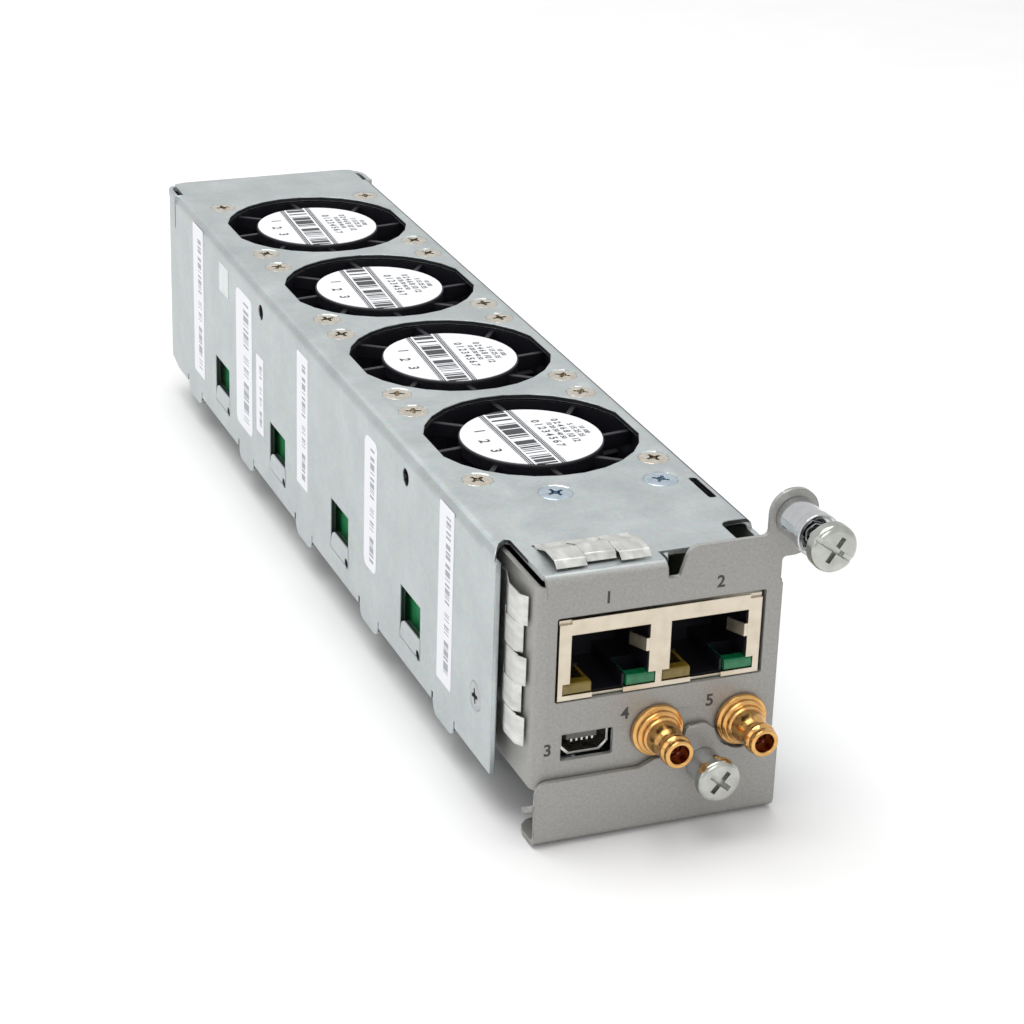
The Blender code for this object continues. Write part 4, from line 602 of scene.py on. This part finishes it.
def sunk_head(name, radius, shank, depth, arm):
    """Countersunk screw with its head up at the origin and a deep cross recess."""
    profile = [(0, 0.05), (radius - 0.75, 0.03), (radius - 0.3, -0.03), (radius - 0.1, -0.1),
               (radius - 0.05, -0.2), (radius - 0.12, -0.3), (shank, -radius + shank), (shank, -depth),
               (0, -depth)]
    screw = lathe(name, profile, (0, 0), 40, "Z")
    stamp(screw, ("DIFFERENCE", block((-arm, -0.27, -1.0), (arm, 0.27, 1.0))),
          ("DIFFERENCE", block((-0.27, -arm, -1.0), (0.27, arm, 1.0))),
          ("DIFFERENCE", punch(disc((0, 0), arm * 0.52, 16), "Z", -0.9, 1.0)))
    return screw


def set_in(screw, name, places, slot, material, *nodes, tilt=0):
    """Copies of one screw, joined into one piece: their places, each with its turn in degrees."""
    shape = bmesh.new()
    for *spot, turn in places:
        turned = screw.data.copy()
        turned.transform(Matrix.Translation(Vector(spot) / 1000) @ Matrix.Rotation(math.radians(tilt), 4, "Y")
                         @ Matrix.Rotation(math.radians(turn), 4, "Z"))
        shape.from_mesh(turned)
        bpy.data.meshes.remove(turned)
    bpy.data.objects.remove(screw, do_unlink=True)
    placed(held(shape, name), "tray", slot, material, *nodes)


fan_places = [(FAN_X + side * 14.25, FAN_FIRST + FAN_PITCH * fan + end * 14.25, TOP,
               37 * (fan + side) + 21 * end) for fan in range(4) for side in (-1, 1) for end in (-1, 1)]
set_in(sunk_head("fan_screw", 2.4, 1.1, 6.0, 1.25), "fan_screws", fan_places, "nickel_screw", nickel,
       *[f"fan_screw_{fan}{corner}" for fan in range(1, 5) for corner in "abcd"])
set_in(sunk_head("board_screw", 2.65, 1.25, 6.5, 1.35), "board_screws",
       [(-6.3, -61.35, TOP, 20), (10.6, -61.35, TOP, 55)], "zinc_screw", passivated,
       "top_screw_1", "top_screw_2")
# Clear-passivated zinc on turned steel: neutral grey, worn.
clear_zinc = plated("clear_zinc_screw", "8E9292", "C6CACA", 0.0012, (0.24, 0.4), 0.0001)
set_in(sunk_head("flange_screw", 2.3, 1.25, 4.5, 1.2), "flange_screws", [(LEFT, -72.25, 16.2, 10)],
       "zinc_screw", clear_zinc, "side_screw", tilt=-90)

# WALL LABELS
# Six self-adhesive labels on the left wall, cut from white film with rounded corners and printed
# with plain bars. They lie flat on the sheet, side by side from front to rear.


def coded_film(name, bar, side, low, high):
    """Printed film: bars of that height in a strip from low to high along the wall."""
    material, tree, shader = finish_named(name, Roughness=0.38)
    spot = add(tree, "ShaderNodeTexCoord").outputs["Object"]
    place = add(tree, "ShaderNodeSeparateXYZ", wires={"Vector": spot})
    cell = add(tree, "ShaderNodeMath", {1: bar}, {0: place.outputs["Z"]}, operation="DIVIDE")
    step = add(tree, "ShaderNodeMath", wires={0: cell.outputs["Value"]}, operation="FLOOR")
    chance = add(tree, "ShaderNodeTexWhiteNoise", wires={"W": step.outputs["Value"]}, noise_dimensions="1D")
    ink = add(tree, "ShaderNodeMath", {1: 0.45}, {0: chance.outputs["Value"]}, operation="GREATER_THAN")
    after = add(tree, "ShaderNodeMath", {1: side[0]}, {0: place.outputs["Y"]}, operation="GREATER_THAN")
    before = add(tree, "ShaderNodeMath", {1: side[1]}, {0: place.outputs["Y"]}, operation="LESS_THAN")
    above = add(tree, "ShaderNodeMath", {1: low}, {0: place.outputs["Z"]}, operation="GREATER_THAN")
    below = add(tree, "ShaderNodeMath", {1: high}, {0: place.outputs["Z"]}, operation="LESS_THAN")
    for edge in (after, before, above, below):
        ink = add(tree, "ShaderNodeMath", wires={0: ink.outputs["Value"], 1: edge.outputs["Value"]},
                  operation="MULTIPLY")
    tint = add(tree, "ShaderNodeMix", {"A": linear("E2E3E8"), "B": linear("96999F")},
               {"Factor": ink.outputs["Value"]}, data_type="RGBA")
    tree.links.new(tint.outputs["Result"], shader.inputs["Base Color"])
    return material


def flat_label(name, front, rear, bottom, top, radius, material):
    """A film label on the left wall between those places along the tray and above the table."""
    shape = bmesh.new()
    outline = []
    for corner, (along, up) in enumerate(((rear, top), (front, top), (front, bottom), (rear, bottom))):
        inward = Vector((radius if along == front else -radius, radius if up == bottom else -radius))
        for step in range(7):
            angle = math.radians(90 * corner + 15 * step)
            spot = Vector((along, up)) + inward
            outline.append((spot.x + radius * math.cos(angle), spot.y + radius * math.sin(angle)))
    rings = []
    for thick, shrink in ((0.0, 0.0), (0.00005, 0.0), (0.00008, 0.00003)):
        rings.append([shape.verts.new((LEFT / 1000 - thick, y - math.copysign(shrink, y - (front + rear) / 2),
                                       z - math.copysign(shrink, z - (bottom + top) / 2)))
                      for y, z in outline])
    for lower, upper in zip(rings, rings[1:]):
        for step in range(len(outline)):
            after = (step + 1) % len(outline)
            shape.faces.new((lower[step], lower[after], upper[after], upper[step]))
    shape.faces.new(rings[-1])
    shape.faces.new(rings[0][::-1])
    bmesh.ops.recalc_face_normals(shape, faces=shape.faces)
    piece = held(shape, name)
    piece.data.materials.append(material)
    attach(piece, "tray")


for number, (front, rear, bottom, top, radius, bar) in enumerate((
    (0.07315, 0.08015, 0.0112, 0.0408, 0.0004, 0.00022),
    (0.04115, 0.05115, 0.0118, 0.0378, 0.0015, 0.00022),
    (0.03415, 0.0385, 0.0148, 0.0293, 0.0003, 0.0002),
    (0.00815, 0.01415, 0.0148, 0.0388, 0.0003, 0.00022),
    (-0.02785, -0.02185, 0.0153, 0.0378, 0.0015, 0.00022),
    (-0.0624, -0.0563, 0.0118, 0.0408, 0.0003, 0.0002),
), 1):
    width = rear - front
    coded = coded_film(f"bar_label_film_{number}", bar, (front + width * 0.2, front + width * 0.52),
                       bottom + 0.0015, top - 0.0015)
    flat_label(f"wall_label_{number}", front, rear, bottom, top, radius, coded)

# One more is clear film: a glossy patch that shows the sheet's own colour a little lighter.
clear = mottled("clear_label_film", "B4BCBC", "DCE2E2", 0.002, Roughness=0.22, Metallic=0.4)
flat_label("clear_wall_label", 0.05615, 0.06215, 0.0333, 0.0388, 0.0002, clear)

# NETWORK JACKS
# A double network jack. Its shield is folded from tin-plated brass, its housing is moulded black,
# and in its lower corners sit amber and green light guides. Eight gold wires wait in each port.
shield_tin = plated("tinned_brass_shield", "C2B7A2", "E6DCCB", 0.002, (0.24, 0.4), 0.00012)
dress(shield_tin, "jack_shield")

# Moulded liquid-crystal polymer, near black with a bluish cast, satin.
polymer = mottled("moulded_jack_polymer", "0A0A12", "15151D", 0.0006, edge=0.00012, Roughness=0.4)
dress(polymer, "jack_housing", "rear_connector")


def light_guide(name, dark, light):
    """Tinted polycarbonate, moulded clear and glossy, its tint deeper in some patches than in others."""
    return mottled(name, dark, light, 0.0011, edge=0.00015, Roughness=0.16, IOR=1.58,
                   Transmission_Weight=0.35)


amber = light_guide("amber_light_guide", "6E5A1A", "A08A38")
green = light_guide("green_light_guide", "0A5A34", "1F9A62")
# Each lens fills the port's lower corner, and its guide runs back to the board as a thin blade.
for index in range(2):
    left = -14.6 + 15.2 * index
    for name, tint, wide, blade in (("yellow", amber, (left - 1.0, left + 3.3), (left + 2.8, left + 3.3)),
                                    ("green", green, (left + 8.7, left + 13.0), (left + 8.3, left + 8.9))):
        front = rounded([(-88.55, 23.3, 0.25), (-86.85, 23.3, 0), (-86.85, 24.9, 0), (-88.55, 24.9, 0.45)])
        light = punch(front, "X", *wide)
        stamp(light, ("UNION", block((blade[0], -87.3, 23.45), (blade[1], -82.35, 24.8))))
        light.name = f"{name}_lens_{index + 1}"
        placed(light, "tray", f"{name}_light", tint, f"light_{name}_{index + 1}")
# Hard gold over nickel on spring bronze: deep yellow, bright.
contact_gold = plated("gold_plated_contact", "C8923A", "F2C878", 0.001, (0.16, 0.28), 0.00005)
dress(contact_gold, "jack_contacts_1", "jack_contacts_2")

# SERVICE PORT
# A small D-shaped service port behind the panel: a stamped tinned shell, folded round a grey moulded
# tongue that carries five contacts.
stamped = plated("tinned_steel_port", "BDBBB4", "E8E6E0", 0.0015, (0.22, 0.36), 0.0001)
dress(stamped, "usb_shell")
# Nylon, moulded dark grey and matt.
nylon = mottled("moulded_grey_nylon", "55534F", "6C6A65", 0.0005, Roughness=0.5)
dress(nylon, "usb_insulator")
shape = bmesh.new()
for step in range(5):
    side = -11.86 + 0.8 * (step - 2)
    pin = block((side, -87.0, 14.85), (side + 0.32, -80.1, 15.3))
    shape.from_mesh(pin.data)
    bpy.data.objects.remove(pin, do_unlink=True)
placed(held(shape, "service_port_contacts"), "tray", "gold_contact", stamped)

# COAXIAL CONNECTORS
# Two snap-on connectors turned from brass and gold-plated, screwed through the panel. The bore holds
# a dark insulator and a centre pin.
gold = plated("gold_plated_brass", "C88C46", "F2C684", 0.0018, (0.14, 0.26), 0.00012)
for number, centre in ((1, (-1.1, 15.9)), (2, (12.15, 15.5))):
    profile = [(2.6, 6.0), (2.6, -0.25), (3.9, -0.25), (4.0, -0.4), (4.0, -0.75), (3.9, -0.95),
               (3.65, -1.05), (3.45, -1.1), (3.4, -1.25), (3.5, -1.45), (3.45, -1.75), (3.2, -1.92),
               (3.0, -1.95), (2.95, -2.1), (2.98, -2.3), (2.9, -2.55), (2.7, -2.68), (2.6, -2.72),
               (2.55, -3.3), (2.42, -4.1), (2.22, -4.75), (1.98, -5.25), (1.9, -5.6), (1.95, -5.95),
               (2.2, -6.15), (2.36, -6.4), (2.42, -6.75), (2.36, -7.1), (2.18, -7.38), (2.08, -7.52),
               (2.16, -7.7), (2.18, -8.1), (2.08, -8.38), (1.88, -8.5), (1.62, -8.5), (1.48, -8.38),
               (1.45, -8.1), (1.45, 6.0)]
    body = lathe(f"snap_connector_{number}", [(radius, FACE + along) for radius, along in profile], centre)
    placed(body, "tray", "gold_body", gold, f"coax_body_{number}")
    pin = [(0.3, -5.5), (0.3, -7.3), (0.22, -7.6), (0, -7.7), (0, -5.5)]
    pin = lathe(f"centre_pin_{number}", [(radius, FACE + along) for radius, along in pin], centre, 24)
    placed(pin, "tray", "gold_contact", gold)
# Moulded insulator, dark reddish brown.
insulator = mottled("moulded_insulator", "4A0F08", "7A2412", 0.0006, Roughness=0.35)
dress(insulator, "coax_insulator_1", "coax_insulator_2")

# BOARDS
# Printed circuit boards of glass-fibre laminate under green solder mask. The strip board along the
# left wall shows through the windows; the other two carry the ports.
mask, tree, shader = finish_named("green_solder_mask", Roughness=0.3)
spot = add(tree, "ShaderNodeTexCoord").outputs["Object"]
tracks = add(tree, "ShaderNodeTexWave", {"Scale": 1 / 0.0022, "Distortion": 2.5, "Detail": 1.0},
             {"Vector": spot}, bands_direction="Z")
copper = add(tree, "ShaderNodeMath", {1: 0.7}, {0: tracks.outputs["Fac"]}, operation="GREATER_THAN")
tint = add(tree, "ShaderNodeMix", {"A": linear("2A8450"), "B": linear("3A9862")},
           {"Factor": copper.outputs["Value"]}, data_type="RGBA")
tree.links.new(tint.outputs["Result"], shader.inputs["Base Color"])
dress(mask, "port_board")
strip = block((-20.4, -67.85, 9.8), (-19.2, 96.15, 35.8))
strip.name = "strip_circuit_board"
placed(strip, "tray", "board", mask, "strip_board")
# The lower board stops short of the panel. Its near-black mask is painted shade, the shade that lies round
# the ports behind the panel.
lower = copied("lower_board", "lower_circuit_board")
for corner in lower.data.vertices:
    if corner.co.y < -0.0874:
        corner.co.y += 0.0024
# The near black stands in for the shade round the ports.
shaded_black_mask = mottled("black_solder_mask_painted_shade", "0C1A14", "16261E", 0.0015, Roughness=0.35)
placed(lower, "tray", "board", shaded_black_mask, "lower_board")

# CAPTIVE SCREWS
# Each panel screw hangs in a bright turned sleeve, pushed out by a small spring behind a washer. The
# upper one in the ear stands out; the lower one in the filter's lip is driven in.
sleeve_nickel = plated("bright_nickel_sleeve", "B4B6B8", "E4E6E8", 0.003, (0.08, 0.16), 0.00015)
sleeve = [(1.9, 0.8), (1.9, -0.1), (2.9, -0.1), (3.0, -0.2), (3.0, -5.5), (3.1, -5.75), (3.25, -5.9),
          (3.25, -7.15), (3.12, -7.3), (2.72, -7.3), (2.62, -7.2), (2.62, -6.6), (2.05, -6.3), (2.05, -1.2),
          (1.2, -1.2), (1.2, 0.8)]
EAR_SCREW, LIP_SCREW = (18.7, 46.4), (6.2, 9.5)
sleeve = lathe("ear_screw_sleeve", [(radius, FACE + along) for radius, along in sleeve], EAR_SCREW)
placed(sleeve, "tray", "sleeve_steel", sleeve_nickel, "upper_sleeve")
sleeve = [(1.9, -0.3), (1.9, -1.2), (2.6, -1.2), (2.6, -4.85), (2.5, -5.05), (2.15, -5.05), (2.05, -4.95),
          (2.05, -1.9), (1.2, -1.9), (1.2, -0.3)]
sleeve = lathe("lip_screw_sleeve", [(radius, FACE + along) for radius, along in sleeve], LIP_SCREW)
placed(sleeve, "filter", "sleeve_steel", sleeve_nickel, "lower_sleeve")

head_nickel = plated("nickel_plated_head", "9A9C95", "D2D4CE", 0.0016, (0.16, 0.3), 0.00012)
for name, head, back, face, shoulder, centre, turn, slotted, body, node in (
    ("ear_screw", 3.55, -10.1, -12.3, 1.05, EAR_SCREW, 35, True, "upper_driver", "upper_screw"),
    ("lip_screw", 3.3, -5.3, -7.2, 2.95, LIP_SCREW, 40, False, "lower_driver", "lower_screw"),
):
    profile = [(0, shoulder + 2.2), (1.05, shoulder + 2.2), (1.35, shoulder + 1.9), (1.35, shoulder),
               (1.0, shoulder), (1.0, back), (head - 0.2, back), (head, back - 0.2), (head, face + 0.75),
               (head - 0.06, face + 0.5), (head - 0.22, face + 0.27), (head - 0.5, face + 0.1),
               (head - 0.95, face), (0, face)]
    screw = lathe(name, [(radius, FACE + along) for radius, along in profile], centre)
    arm = head * 0.58
    front = FACE + face - 1
    tools = [block((-arm, front, -0.4), (arm, front + 2.3, 0.4)),
             block((-0.4, front, -arm), (0.4, front + 2.3, arm))]
    if slotted:
        tools.append(block((-head - 1, front, -0.35), (head + 1, front + 1.75, 0.35)))
    for tool in tools:
        tool.data.transform(Matrix.Translation((centre[0] / 1000, 0, centre[1] / 1000))
                            @ Matrix.Rotation(math.radians(turn), 4, "Y"))
    stamp(screw, *[("DIFFERENCE", tool) for tool in tools])
    placed(screw, body, "screw_steel", head_nickel, node)
dress(head_nickel, "upper_washer", "lower_washer")
# Hard-drawn spring wire, lightly oiled: grey, bright along the turns.
wire = plated("drawn_spring_wire", "909294", "D0D2D4", 0.0008, (0.18, 0.3), 0.00005)
# Each spring is a copy of its solid in that wire, shaded smooth; the solid is hidden.
for name, node, body, carrier in (("ear_screw_spring", "upper_spring", "tray", "upper_carrier"),
                                  ("lip_screw_spring", "lower_spring", "filter", "lower_carrier")):
    coil = copied(node, name)
    coil.data.materials.append(wire)
    coil.data.shade_smooth()
    low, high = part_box(node)
    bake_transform(coil)
    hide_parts(node)

# AIR FILTER
# The lip plate and the cassette behind it are the same plated sheet as the shell, warm grey in front like the
# panel, partly coat and partly painted shade; a strip joins them. The medium is open-cell foam that the
# cassette's bars hold.
cassette = copied("filter_frame", "filter_cassette")
stamp(cassette, ("DIFFERENCE", block((-22.3, -88.95, 2.6), (17.5, -68.85, 7.3))),
      ("UNION", block((-18.9, -69.1, 3.2), (14.1, -68.05, 6.7))),
      ("UNION", block((-8.4, -89.6, 6.0), (13.6, -68.5, 6.7))))
placed(cassette, "filter", "lip_sheet", zinc, "filter_frame")
# Reticulated polyurethane foam, charcoal, with pores about 0.8 mm across. The pores are painted near black as
# the shade inside them, the strands between them lighter.
foam, tree, shader = finish_named("open_cell_foam", Roughness=0.95)
spot = add(tree, "ShaderNodeTexCoord").outputs["Object"]
pores = add(tree, "ShaderNodeTexVoronoi", {"Scale": 1 / 0.0008}, {"Vector": spot},
            feature="DISTANCE_TO_EDGE")
# Painted shade: darker towards the middle of each pore.
pore_shade = add(tree, "ShaderNodeMapRange", {"From Max": 0.18}, {"Value": pores.outputs["Distance"]})
tint = add(tree, "ShaderNodeMix", {"A": linear("3C3C40"), "B": linear("0B0B0C")},
           {"Factor": pore_shade.outputs["Result"]}, data_type="RGBA")
tree.links.new(tint.outputs["Result"], shader.inputs["Base Color"])
dents = add(tree, "ShaderNodeBump", {"Strength": 0.9, "Distance": 0.0004},
            {"Height": pores.outputs["Distance"]})
tree.links.new(dents.outputs["Normal"], shader.inputs["Normal"])
medium = copied("filter_medium", "foam_medium")
for corner in medium.data.vertices:
    if corner.co.y < -0.08:
        corner.co.y = -0.0678
placed(medium, "filter", "filter_foam", foam, "filter_medium")

# PRINTED NUMBERS
# The ports are numbered in dark grey screen-printing ink on the warm grey front face of the panel, each
# number above or beside its port.
for number, across, up in ((1, -0.0094, 0.0377), (2, 0.0078, 0.0377), (3, -0.0177, 0.0150),
                           (4, -0.0060, 0.0190), (5, 0.0072, 0.0190)):
    mesh = lettered(str(number), 0.0018)
    mesh.transform(Matrix.Translation((across, FACE / 1000 - 0.000008, up))
                   @ Matrix.Rotation(math.radians(90), 4, "X"))
    mesh.materials.append(ink)
    piece = bpy.data.objects.new(f"port_number_{number}", mesh)
    bpy.context.scene.collection.objects.link(piece)
    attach(piece, "tray")
